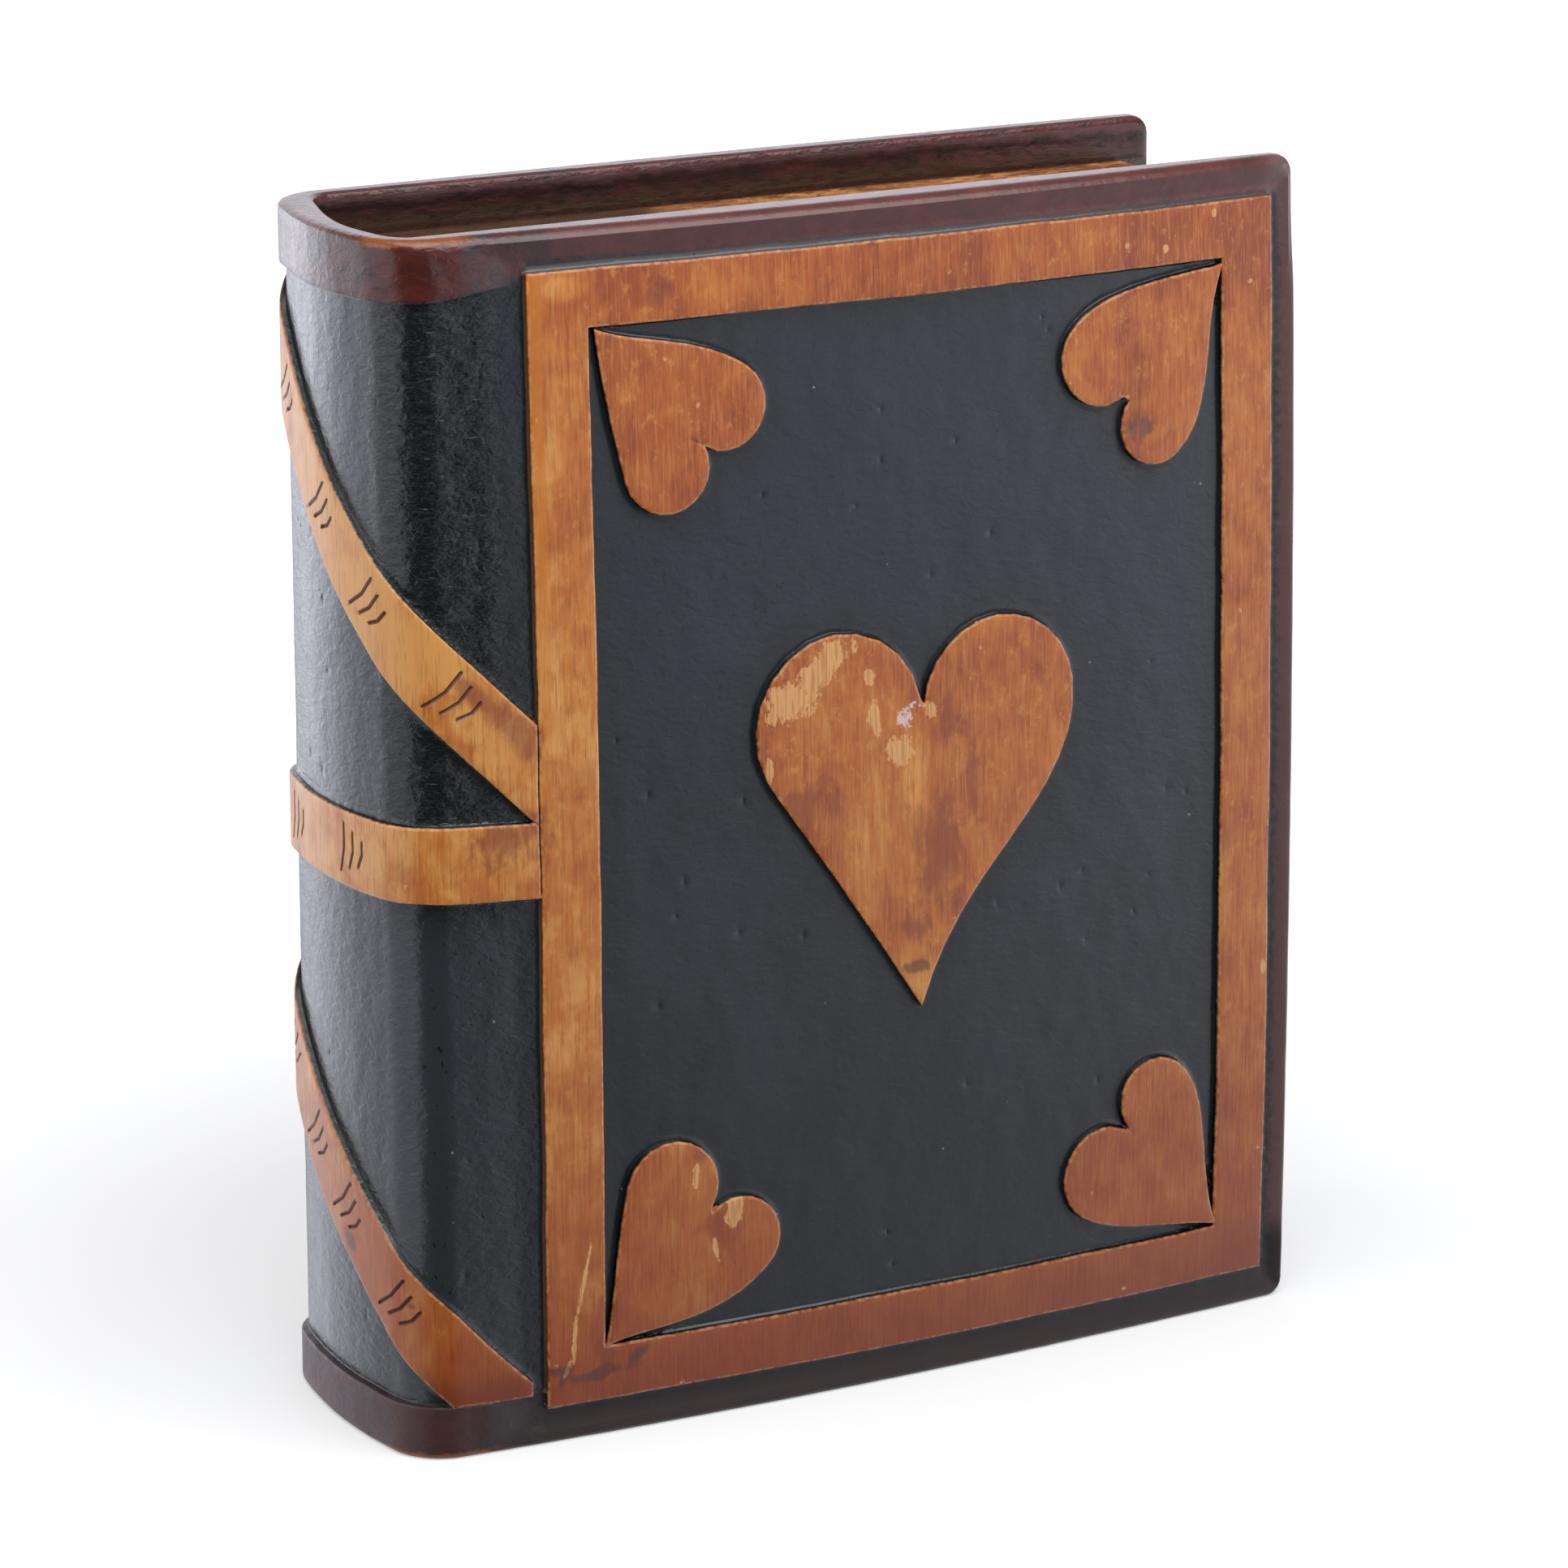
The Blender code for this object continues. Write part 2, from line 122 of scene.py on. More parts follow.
# Fine shape, which the solids leave out
OUTER_ARRIS = 0.8         # rounding of the boards' outer edges
HEAD_ARRIS = 1.7          # the same at the front cover's head, where it is worn
INNER_ARRIS = 0.8
CUT_PROFILE = (           # distance from a cut edge, positive on top, and height
    (-0.90, -RELIEF), (-0.30, -RELIEF - 0.08), (-0.14, -RELIEF + 0.08),
    (0.0, -0.12), (0.12, -0.03), (0.35, 0.0))
STROKE_PLACES = (         # of each group of strokes along the level, upper and lower band
    (-28.5, -10.0, 7.6), (-11.0, 2.0, 13.0, 24.4), (-26.0, -15.0, -4.5, 4.3, 15.4))
STROKE_LENGTHS = (6.0, 4.6, 3.2)
STROKE_APART = 2.1
STROKE_SLANT = 1.0
STROKE_BOW = 0.45
STROKE_HALF = 0.28
STROKE_DEPTH = 0.30
HEAD_LEAN = (1.35, 2.7)   # how far the spine's back corner leans in at the head, outside and inside
BAND_END_GAPS = (0.22, 0.22, 1.9)   # how far the level, upper and lower band stop from the frame
# How far each band's middle runs above a straight line: length along the strip, rise
BAND_BOWS = (
    ((-32.0, 0.0), (-6.0, 0.2), (12.0, 0.6), (22.0, 0.6), (34.0, 0.1)),
    ((-32.0, 0.0), (-20.0, 1.9), (-6.0, 2.6), (4.0, 2.1), (16.0, 2.5), (22.0, 1.8), (27.0, 1.2),
     (34.0, 0.1)),
    ((-32.0, 0.0), (-12.0, 0.0), (-2.0, 0.5), (5.0, 1.3), (12.0, 1.7), (22.8, 1.1), (27.0, 0.0),
     (34.0, -0.9)))
WANDER = 0.17             # how far the hand-cut edges stray
PIT_COUNT = 90
PIT_DEPTH = 0.08
PIT_ROOM = 2.6            # between a dent and the raised wood
WRINKLED = (14.0, 30.5)   # stretch of the spine, along the strip, where the black paint has shrunk
WRINKLE_FADE = (62.0, 76.0)   # heights between which the wrinkles die out towards the foot
WRINKLE_DEPTH = 0.11
LID_UNEVEN = 0.05         # depth of the hand-planed lid's hollows
LID_ARRIS = 0.25
LID_DARK_END = 55.0       # about how far from the spine the lid's face is dark

# Spacing of the mesh points
RING_DISTANCES = (-0.90, -0.30, -0.14, 0.12, 0.35)
RING_STEP = 0.60
EDGE_STEP = 0.75
STROKE_STEP = 0.35
FRONT_GRID = 1.00
SPINE_GRID = 0.70
BACK_GRID = 2.00
SPINE_BACK_GRID = 1.00
WRINKLE_GRID = 0.48
RING_ROOM = (-1.3, 0.75)  # no grid points between these distances from a cut edge
LID_GRID = 1.2
SIDE_DEPTHS = (0.7, 1.7, 2.7, 3.2, 3.4)   # of the rows of points down the boards' edges
PILLOW = 6.0              # how far the flat strip's edges are bowed while it is triangulated
FAR_OFF = 6.0             # distances beyond this aren't worked out
CUTTER_ROOM = 1.0         # how far a cutter reaches past what it cuts

HALF_DEPTH = EDGE_DEPTH / 2
INNER_HALF = HALF_DEPTH - WALL
BLOCK_FOOT = EDGE_INSET
BLOCK_HEAD = HEIGHT - EDGE_INSET
BLOCK_END = WIDTH - FORE_INSET
FRONT_REACH = HALF_DEPTH + FRONT_BULGE + FRONT_BOW
BACK_REACH = HALF_DEPTH + BACK_BULGE + BACK_BOW
CENTRE_X = -WIDTH / 2
CENTRE_Y = (FRONT_REACH - BACK_REACH) / 2

PAINT, INSIDE, BARE = range(3)   # material slots of the case


# Outline of the book seen from above

class HalfOutline:
    """Half the spine, a rounded corner and a cover, as three touching arcs."""

    def __init__(self, bulge):
        self.spine_radius = (HALF_DEPTH ** 2 + SPINE_SWELL ** 2) / (2 * SPINE_SWELL)
        self.cover_radius = ((WIDTH / 2) ** 2 + bulge ** 2) / (2 * bulge)
        self.spine_centre = Vector((self.spine_radius, 0.0))
        self.cover_centre = Vector((WIDTH / 2, self.cover_radius - HALF_DEPTH - bulge))
        self.corner_centre = self.find_corner_centre()
        to_spine = self.corner_centre - self.spine_centre
        to_cover = self.corner_centre - self.cover_centre
        self.turn_one = math.atan2(-to_spine.y, -to_spine.x)
        self.turn_two = math.atan2(-to_cover.y, -to_cover.x)
        self.length_one = self.spine_radius * self.turn_one
        self.length_two = self.length_one + SPINE_CORNER * (self.turn_two - self.turn_one)
        self.length = self.length_at(WIDTH)

    def find_corner_centre(self):
        reach_one = self.spine_radius - SPINE_CORNER
        reach_two = self.cover_radius - SPINE_CORNER
        between = self.cover_centre - self.spine_centre
        apart = between.length
        along = (reach_one ** 2 - reach_two ** 2 + apart ** 2) / (2 * apart)
        across = math.sqrt(reach_one ** 2 - along ** 2)
        direction = between / apart
        sideways = Vector((direction.y, -direction.x))
        ends = [self.spine_centre + direction * along + sideways * across * turn for turn in (-1, 1)]
        return min(ends, key=lambda end: end.x)

    def length_at(self, x):
        turn = math.pi / 2 + math.asin((x - WIDTH / 2) / self.cover_radius)
        return self.length_two + self.cover_radius * (turn - self.turn_two)

    def place(self, length, height):
        """Places (x, y) at lengths along the outline and heights off it."""
        on_spine = length < self.length_one
        on_corner = ~on_spine & (length < self.length_two)
        spine_turn = length / self.spine_radius
        corner_turn = self.turn_one + (length - self.length_one) / SPINE_CORNER
        cover_turn = self.turn_two + (length - self.length_two) / self.cover_radius
        turn = np.select([on_spine, on_corner], [spine_turn, corner_turn], cover_turn)
        radius = np.select([on_spine, on_corner], [self.spine_radius, SPINE_CORNER], self.cover_radius)
        centres = (self.spine_centre, self.corner_centre, self.cover_centre)
        centre_x, centre_y = (
            np.select([on_spine, on_corner], [centres[0][axis], centres[1][axis]], centres[2][axis])
            for axis in (0, 1))
        return (centre_x - (radius + height) * np.cos(turn),
                centre_y - (radius + height) * np.sin(turn))


FRONT = HalfOutline(FRONT_BULGE)
BACK = HalfOutline(BACK_BULGE)
FRONT_NEAR, FRONT_FAR = FRONT.length_at(FRAME_LEFT), FRONT.length_at(FRAME_RIGHT)
BACK_NEAR, BACK_FAR = BACK.length_at(FRAME_LEFT), BACK.length_at(FRAME_RIGHT)


def smooth(value):
    value = np.clip(value, 0.0, 1.0)
    return value * value * (3 - 2 * value)


def bend(flat, off, inside=False):
    """Carry flat points (along, up), at heights off the surface, to their places in metres.

    With inside set, the heights count outwards from the walls' inner face.
    """
    along, up = flat[:, 0], flat[:, 1]
    places = np.empty((len(flat), 3))
    for half, side, bow in ((FRONT, 1, FRONT_BOW), (BACK, -1, BACK_BOW)):
        here = (along >= 0) if side == 1 else (along < 0)
        length = np.abs(along[here])
        if inside:
            x, y = half.place(length, off[here] - WALL)
            y = np.maximum(y, -INNER_HALF - off[here])
        else:
            x, y = half.place(length, off[here])
            reach = (length - half.length_one) / (half.length_at(FRAME_LEFT) - half.length_one)
            upright = (up[here] - HEIGHT / 2) / (HEIGHT / 2)
            y = y - bow * smooth(reach) * (1 - upright ** 2)
        weight = smooth((8.0 - along[here]) / 26.0) * smooth((along[here] + 58.0) / 24.0)
        x = x + HEAD_LEAN[inside] * weight * up[here] / HEIGHT
        places[here] = np.stack((x + CENTRE_X, y * side + CENTRE_Y, up[here]), axis=1)
    return places * MM


# Flat outlines

def rectangle(left, right, foot, head):
    return [(left, foot), (right, foot), (right, head), (left, head)]


def heart_side(length, width, spread, start, pull_low, pull_high, lean):
    """Right-hand side of a heart, from just above its tip over the lobe."""
    radius = width * (1 - spread)
    centre = Vector((width - radius, length - radius))
    start, stop = math.radians(start), math.radians(LOBE_STOP)
    shoulder = centre + radius * Vector((math.cos(start), math.sin(start)))
    high = shoulder + pull_high * length * Vector((math.sin(start), -math.cos(start)))
    low = pull_low * length * Vector((lean, 1.0)).normalized()
    points = []
    for step in range(1, HEART_POINTS):
        share = step / HEART_POINTS
        rest = 1 - share
        points.append(3 * rest * rest * share * low + 3 * rest * share * share * high
                      + share ** 3 * shoulder)
    for step in range(HEART_POINTS + 1):
        turn = start + (stop - start) * step / HEART_POINTS
        points.append(centre + radius * Vector((math.cos(turn), math.sin(turn))))
    return points


def heart(tip, turn, notch, right, left):
    """A heart's outline: its tip, the right side, the notch and the left side."""
    right_points = [point for point in heart_side(*right)
                    if point.x > notch[0] + NOTCH_ROOM or point.y < notch[1]]
    left_points = [Vector((-point.x, point.y)) for point in heart_side(*left)]
    left_points = [point for point in left_points
                   if point.x < notch[0] - NOTCH_ROOM or point.y < notch[1]]
    outline = [Vector((0.0, 0.0))] + right_points + [Vector(notch)] + left_points[::-1]
    spin = Matrix.Rotation(math.radians(turn), 2)
    return [tuple(Vector(tip) + spin @ point) for point in outline]


def front_hearts():
    return [heart(*shape) for shape in (CENTRE_HEART, *CORNER_HEARTS)]


def back_heart():
    """The back cover's heart, the front one seen from behind."""
    (along, up), turn, (across, rise), right, left = CENTRE_HEART
    tip = (-BACK_NEAR - (along - FRONT_NEAR), up)
    return heart(tip, -turn, (-across, rise), left, right)


def band_ends():
    """Height of each band's middle at the front and at the back frame, and half its width."""
    level = (BAND_FOOT + BAND_HEAD) / 2
    half = SLANT_RISE / 2
    return ((level, level, (BAND_HEAD - BAND_FOOT) / 2),
            (UPPER_SLANT[0] + half, UPPER_SLANT[1] + half, half),
            (LOWER_SLANT[0] - half, LOWER_SLANT[1] - half, half))


def band_middle(along, index):
    """Height of a band's middle at lengths along the strip."""
    front_up, back_up, _ = band_ends()[index]
    straight = np.interp(along, (-BACK_NEAR, FRONT_NEAR), (back_up, front_up))
    lengths, rises = zip(*BAND_BOWS[index])
    return straight + np.interp(along, lengths, rises)


def spine_bands():
    """The level band and the two slanting ones, each as a closed outline."""
    outlines = []
    for index, (gap, (_, _, half)) in enumerate(zip(BAND_END_GAPS, band_ends())):
        along = np.linspace(FRONT_NEAR - gap, -(BACK_NEAR - gap), 36)
        up = band_middle(along, index)
        outlines.append(list(zip(along, up - half))[::-1] + list(zip(along, up + half)))
    return outlines


def frame_outlines():
    """The frames' outer and inner outlines, in pairs."""
    pairs = []
    for near, far, side in ((FRONT_NEAR, FRONT_FAR, 1), (BACK_NEAR, BACK_FAR, -1)):
        outer = rectangle(*sorted((side * near, side * far)), FRAME_FOOT, FRAME_HEAD)
        inner = rectangle(*sorted((side * (near + STILE), side * (far - STILE))),
                          FRAME_FOOT + RAIL, FRAME_HEAD - RAIL)
        pairs.append((outer, inner))
    return pairs


def edge_height(along, edge):
    """Height of the head or tail band's edge at lengths along the strip."""
    lengths = [0.0] + [FRONT.length_at(x) for x, _ in edge[1:]]
    return np.interp(np.abs(along), lengths, [up for _, up in edge])


# Strokes in the bands, where the lettering was: groups of three slanting cuts

def stroke_marks():
    """Cuts as short curved lines, in groups spaced along each band."""
    strokes = []
    for index, ((front_up, back_up, _), places) in enumerate(zip(band_ends(), STROKE_PLACES)):
        spin = Matrix.Rotation(math.atan((front_up - back_up) / (FRONT_NEAR + BACK_NEAR)), 2)
        for along in places:
            middle = Vector((along, float(band_middle(along, index))))
            for column, length in enumerate(STROKE_LENGTHS):
                foot = Vector((STROKE_APART * column - 2.2, -length / 2))
                head = Vector((foot.x + STROKE_SLANT, length / 2))
                line = (foot, foot.lerp(head, 0.5) + Vector((STROKE_BOW, 0.0)), head)
                strokes.append([tuple(middle + spin @ point) for point in line])
    return strokes


# Distances and points on the strip

def spaced(line, step, closed=True):
    """Points along a line of corners, at most a step apart, with the corners kept."""
    corners = [Vector(point) for point in line]
    ends = corners[1:] + corners[:1] if closed else corners[1:]
    points = []
    for start, stop in zip(corners, ends):
        pieces = max(1, math.ceil((stop - start).length / step))
        points += [start.lerp(stop, piece / pieces) for piece in range(pieces)]
    if not closed:
        points.append(corners[-1])
    return np.array(points)


def line_distance(points, line, closed=True):
    """Distance from each point to the nearest part of a line."""
    starts = np.array(line, float)
    stops = np.roll(starts, -1, axis=0)
    if not closed:
        starts, stops = starts[:-1], stops[:-1]
    nearest = np.full(len(points), 1e9)
    for start, stop in zip(starts, stops):
        run = stop - start
        share = np.clip((points - start) @ run / (run @ run), 0.0, 1.0)
        gap = points - start - share[:, None] * run
        nearest = np.minimum(nearest, np.einsum("ij,ij->i", gap, gap))
    return np.sqrt(nearest)


def inside_of(points, outline):
    """Which points lie inside a closed outline."""
    starts = np.array(outline, float)
    stops = np.roll(starts, -1, axis=0)
    inside = np.zeros(len(points), bool)
    for (x1, y1), (x2, y2) in zip(starts, stops):
        if y1 == y2:
            continue
        crosses = (points[:, 1] < y1) != (points[:, 1] < y2)
        inside ^= crosses & (points[:, 0] < x1 + (points[:, 1] - y1) * (x2 - x1) / (y2 - y1))
    return inside


def signed_distance(points, outline):
    """Distance to a closed outline, positive inside it."""
    corners = np.array(outline, float)
    low, high = corners.min(0) - FAR_OFF, corners.max(0) + FAR_OFF
    close = ((points > low) & (points < high)).all(1)
    result = np.full(len(points), -FAR_OFF)
    near_points = points[close]
    distance = line_distance(near_points, outline)
    inside = inside_of(near_points, outline)
    result[close] = np.clip(np.where(inside, distance, -distance), -FAR_OFF, FAR_OFF)
    return result


def wood_distance(points):
    """Distance to the edge of the raised wood, positive on it."""
    result = np.full(len(points), -FAR_OFF)
    for outer, inner in frame_outlines():
        ring = np.minimum(signed_distance(points, outer), -signed_distance(points, inner))
        result = np.maximum(result, ring)
    for outline in front_hearts() + [back_heart()]:
        result = np.maximum(result, signed_distance(points, outline))
    window = window_distance(points)
    for outline in spine_bands():
        result = np.maximum(result, np.minimum(signed_distance(points, outline), window))
    return result


def window_distance(points):
    """Distance into the spine's sunk ground, between its head and tail bands."""
    along, up = points[:, 0], points[:, 1]
    return np.minimum(edge_height(along, HEAD_EDGE) - up, up - edge_height(along, TAIL_EDGE))


def near_far(along):
    front = along >= 0
    near = np.where(front, FRONT_NEAR, BACK_NEAR)
    far = np.where(front, FRONT_FAR, BACK_FAR)
    length = np.where(front, FRONT.length, BACK.length)
    return near, far, length


def border_slope(points):
    """How far up a cover's border slope each point is: 0 by the frame, 1 at the rim."""
    along, up = np.abs(points[:, 0]), points[:, 1]
    near, far, length = near_far(points[:, 0])
    return np.clip(np.maximum.reduce([
        (near - BAND_GAP - along) / (BORDER_RUN - BAND_GAP),
        (along - far - TRENCH) / (length - BORDER_LAND - far - TRENCH),
        (FRAME_FOOT - TRENCH - up) / (FRAME_FOOT - TRENCH - BORDER_LAND),
        (up - FRAME_HEAD - TRENCH) / (HEIGHT - BORDER_LAND - FRAME_HEAD - TRENCH),
    ]), 0.0, 1.0)


def rim_distance(points):
    """Distance into the oxblood paint of the rims, negative on the black ground."""
    along, up = np.abs(points[:, 0]), points[:, 1]
    near, far, _ = near_far(points[:, 0])
    on_spine = along < near
    across = np.clip((along - near) / (far - near), 0.0, 1.0)
    head_strip = 0.5 + 0.9 * (1 - across) ** 2
    cover = np.maximum.reduce([up - FRAME_HEAD - head_strip, FRAME_FOOT - 0.3 - up, along - far - 1.5])
    return np.where(on_spine, -window_distance(points), cover)


def board_distance(points):
    """Distance in from the edge of the strip, whose corners are rounded."""
    middle = np.array([(FRONT.length - BACK.length) / 2, HEIGHT / 2])
    half = np.array([(FRONT.length + BACK.length) / 2, HEIGHT / 2]) - BOARD_CORNER
    over = np.abs(points - middle) - half
    outside = np.linalg.norm(np.maximum(over, 0.0), axis=1)
    return BOARD_CORNER - outside - np.minimum(over.max(1), 0.0)


def noise_at(places, scale, seed):
    """Smooth noise, about -1 to 1, at places in millimetres."""
    shift = Vector((seed * 17.3, seed * 7.1, seed * 3.7))
    if places.shape[1] == 2:
        places = np.column_stack((places, np.zeros(len(places))))
    return np.array([noise.noise(Vector(place) / scale + shift) for place in places])


# Carved skin

def rounded_rectangle(left, right, low, high, radius, steps):
    """Corner points of a rectangle with rounded corners, counter-clockwise."""
    points = []
    for x, y, start in ((right - radius, low + radius, -90), (right - radius, high - radius, 0),
                        (left + radius, high - radius, 90), (left + radius, low + radius, 180)):
        for step in range(steps + 1):
            turn = math.radians(start + 90 * step / steps)
            points.append((x + radius * math.cos(turn), y + radius * math.sin(turn)))
    return points


def strip_loop(inset=0.0):
    """Points round the strip's edge, counter-clockwise, moved in by an inset."""
    outline = rounded_rectangle(inset - BACK.length, FRONT.length - inset, inset, HEIGHT - inset,
                                BOARD_CORNER - inset, 5)
    return spaced(outline, EDGE_STEP)


def inset_loop(loop, distance):
    """The loop moved inwards by a distance, point by point."""
    ahead = np.roll(loop, -1, axis=0) - np.roll(loop, 1, axis=0)
    ahead /= np.linalg.norm(ahead, axis=1)[:, None]
    return loop + distance * np.column_stack((-ahead[:, 1], ahead[:, 0]))


def scatter_pits():
    """Small dents in the black ground: place, half width and half height."""
    chance = random.Random(11)
    pits = []
    stretches = ((-28, 30), (FRONT_NEAR + STILE, FRONT_FAR - STILE))   # on the spine, on the cover
    while len(pits) < PIT_COUNT:
        place = (chance.uniform(*stretches[len(pits) % 2]), chance.uniform(12, 138))
        width = chance.uniform(0.22, 0.42)
        pits.append((place, width, width * chance.uniform(1.0, 3.6)))
    places = np.array([place for place, _, _ in pits])
    clear = wood_distance(places) < -PIT_ROOM
    return [pit for pit, is_clear in zip(pits, clear) if is_clear]


def grid_points(left, right, step):
    """Points in staggered rows, each moved a little, so that no pattern shows."""
    chance = random.Random(5)
    rows = int((HEIGHT - 1.6) / (step * 0.87))
    points = []
    for row in range(rows + 1):
        up = 0.9 + (HEIGHT - 1.8) * row / rows
        count = int((right - left) / step)
        for column in range(count):
            along = left + (column + 0.5 * (row % 2) + 0.25) * step
            points.append((along + chance.uniform(-0.15, 0.15) * step,
                           up + chance.uniform(-0.15, 0.15) * step))
    return np.array(points)


def skin_points(strokes, pits):
    """Every point of the flat strip's triangulation, and the cut edges between them."""
    loop = strip_loop()
    points = [loop]
    edges = [(index, (index + 1) % len(loop)) for index in range(len(loop))]
    total = len(loop)
    outlines = [outline for pair in frame_outlines() for outline in pair]
    outlines += front_hearts() + [back_heart()] + spine_bands()
    lines = [(True, outline) for outline in outlines]
    lines += [(False, edge_line(edge)) for edge in (HEAD_EDGE, TAIL_EDGE)]
    lines = [(closed, outline, spaced(outline, RING_STEP, closed)) for closed, outline in lines]
    for closed, _, line in lines:
        kept = board_distance(line) > 0.5
        line = line[kept]
        count = len(line)
        links = range(count if closed and kept.all() else count - 1)
        points.append(line)
        edges += [(total + index, total + (index + 1) % count) for index in links
                  if np.linalg.norm(line[index] - line[(index + 1) % count]) < 1.5 * RING_STEP]
        total += count
    rings = []
    for closed, outline, line in lines:
        for distance in RING_DISTANCES:
            if closed:
                ring = inset_loop(line, distance)
                gap = np.abs(signed_distance(ring, outline))
                rings.append(ring[gap > 0.9 * abs(distance)])
            else:
                rings.append(line + np.array((0.0, distance)))
                rings.append(line - np.array((0.0, distance)))
    rings = np.concatenate(rings)
    points.append(rings[board_distance(rings) > 0.9])
    for angle in (22.5, 45.0, 67.5, 90.0):
        points.append(strip_loop(HEAD_ARRIS * (1 - math.cos(math.radians(angle))) + 0.01))
    for line in strokes:
        cut = spaced(line, STROKE_STEP, closed=False)
        ahead = np.gradient(cut, axis=0)
        ahead /= np.linalg.norm(ahead, axis=1)[:, None]
        across = np.column_stack((-ahead[:, 1], ahead[:, 0]))
        points += [cut, cut + across * STROKE_HALF, cut - across * STROKE_HALF]
    for place, half_width, half_height in pits:
        turns = np.arange(6) * math.pi / 3
        circle = np.column_stack((np.cos(turns) * half_width, np.sin(turns) * half_height))
        points += [np.array([place]), np.array(place) + circle * 0.55, np.array(place) + circle * 1.15]
    stretches = ((-BACK.length + 1.2, -BACK_NEAR, BACK_GRID), (-BACK_NEAR, 2.0, SPINE_BACK_GRID),
                 (2.0, WRINKLED[0], SPINE_GRID), (*WRINKLED, WRINKLE_GRID),
                 (WRINKLED[1], FRONT_NEAR + 1.0, SPINE_GRID),
                 (FRONT_NEAR + 1.0, FRONT.length - 1.2, FRONT_GRID))
    for stretch in stretches:
        grid = grid_points(*stretch)
        distance = wood_distance(grid)
        window_gap = np.abs(window_distance(grid))
        room = (distance < RING_ROOM[0]) | (distance > RING_ROOM[1])
        room &= (window_gap > 1.2) | (np.abs(grid[:, 0]) > FRONT_NEAR)
        room &= board_distance(grid) > HEAD_ARRIS + 0.4
        points.append(grid[room])
    return np.concatenate(points), edges, loop


def edge_line(edge):
    """The head or tail band's edge as a line, from the back cover to the front one."""
    front = [(FRONT.length_at(x) if x else 0.0, up) for x, up in edge]
    back = [(-BACK.length_at(x), up) for x, up in reversed(edge[1:])]
    return back + front


def stroke_distance(points, strokes):
    result = np.full(len(points), FAR_OFF)
    for line in strokes:
        middle = np.array(line[1])
        close = np.abs(points - middle).max(1) < 6.0
        result[close] = np.minimum(result[close], line_distance(points[close], line, closed=False))
    return result


def skin_heights(points, wood, strokes, pits):
    """Height of the carved surface off the book's plain outline."""
    distances, levels = zip(*CUT_PROFILE)
    raised = np.interp(wood, distances, levels)
    rim = np.interp(-window_distance(points), distances, levels)
    near, _, _ = near_far(points[:, 0])
    rim = np.where(np.abs(points[:, 0]) < near, rim, 0.0)
    tray = -RELIEF * (1 - smooth(border_slope(points)))
    height = np.maximum(raised, np.minimum(tray, rim))
    height -= 0.035 * (1 + noise_at(points, 9.0, 1))
    on_ground = smooth(-wood / 0.8)
    height -= 0.045 * on_ground * (1 + noise_at(points * (1.0, 0.6), 2.4, 2))
    wrinkles = noise_at(points * (0.70, 1.30) + 0.8 * noise_at(points, 4.0, 14)[:, None], 2.0, 13)
    height -= WRINKLE_DEPTH * on_ground * wrinkled(points) * (0.7 + wrinkles)
    stroke = stroke_distance(points, strokes)
    height -= STROKE_DEPTH * np.clip(1 - stroke / STROKE_HALF, 0.0, 1.0)
    for place, half_width, half_height in pits:
        gap = (points - place) / (half_width, half_height)
        height -= PIT_DEPTH * np.clip(1 - np.einsum("ij,ij->i", gap, gap), 0.0, 1.0)
    worn = smooth((points[:, 1] - 130.0) / 15.0) * smooth((points[:, 0] - 5.0) / 30.0)
    radius = OUTER_ARRIS + (HEAD_ARRIS - OUTER_ARRIS) * worn
    inward = np.clip(board_distance(points), 0.0, radius)
    height -= radius - np.sqrt(radius ** 2 - (radius - inward) ** 2)
    return height, stroke


def wrinkled(points):
    """1 where the spine's paint is wrinkled, fading to 0 on both sides and towards the foot."""
    low, high = WRINKLED
    foot, full = WRINKLE_FADE
    along, up = points[:, 0], points[:, 1]
    return (smooth((along - low) / 3.0) * smooth((high - along) / 3.0)
            * smooth((up - foot) / (full - foot)))


def wandered(points):
    """The points with the hand's small wavering, which dies out at the edges."""
    fade = smooth(board_distance(points) / 4.0)
    shift = [WANDER * noise_at(points, 14.0, seed) + 0.35 * WANDER * noise_at(points, 3.5, seed + 5)
             for seed in (3, 4)]
    return points + np.column_stack(shift) * fade[:, None]


def inner_points():
    """Points of the walls' inner face: close near the edge, far apart where the block covers it."""
    points = [strip_loop(INNER_ARRIS)]
    chance = random.Random(8)
    for step, low, high in ((1.1, 1.4, 7.5), (6.0, 7.5, 80.0)):
        columns = int((BACK.length + FRONT.length) / step)
        rows = int(HEIGHT / step)
        grid = np.array([(-BACK.length + (column + 0.5 * (row % 2)) * step, row * step)
                         for row in range(rows + 1) for column in range(columns + 1)])
        grid += np.array([(chance.uniform(-0.12, 0.12) * step, chance.uniform(-0.12, 0.12) * step)
                          for _ in range(len(grid))])
        inward = board_distance(grid)
        points.append(grid[(inward > low) & (inward <= high)])
    return np.concatenate(points)


def pillow(points):
    """The strip with its straight edges bowed out, so that no three edge points are in line."""
    half = np.array([(FRONT.length + BACK.length) / 2, HEIGHT / 2])
    middle = np.array([(FRONT.length - BACK.length) / 2, HEIGHT / 2])
    share = (points - middle) / half
    return points + PILLOW * share * (1 - share[:, ::-1] ** 2)


def triangulate(points, edges):
    """Triangles between the points, within the closed loop that comes first."""
    corners = [Vector(point) for point in pillow(points)]
    verts, _, faces, _, _, _ = geometry.delaunay_2d_cdt(corners, edges, [], 1, 1e-6, False)
    bowed = np.array([tuple(vert) for vert in verts])
    flat = bowed
    for _ in range(12):        # undo the bow at points that crossing lines added
        flat = bowed - (pillow(flat) - flat)
    flat[:len(points)] = points
    return flat, [tuple(face) for face in faces]


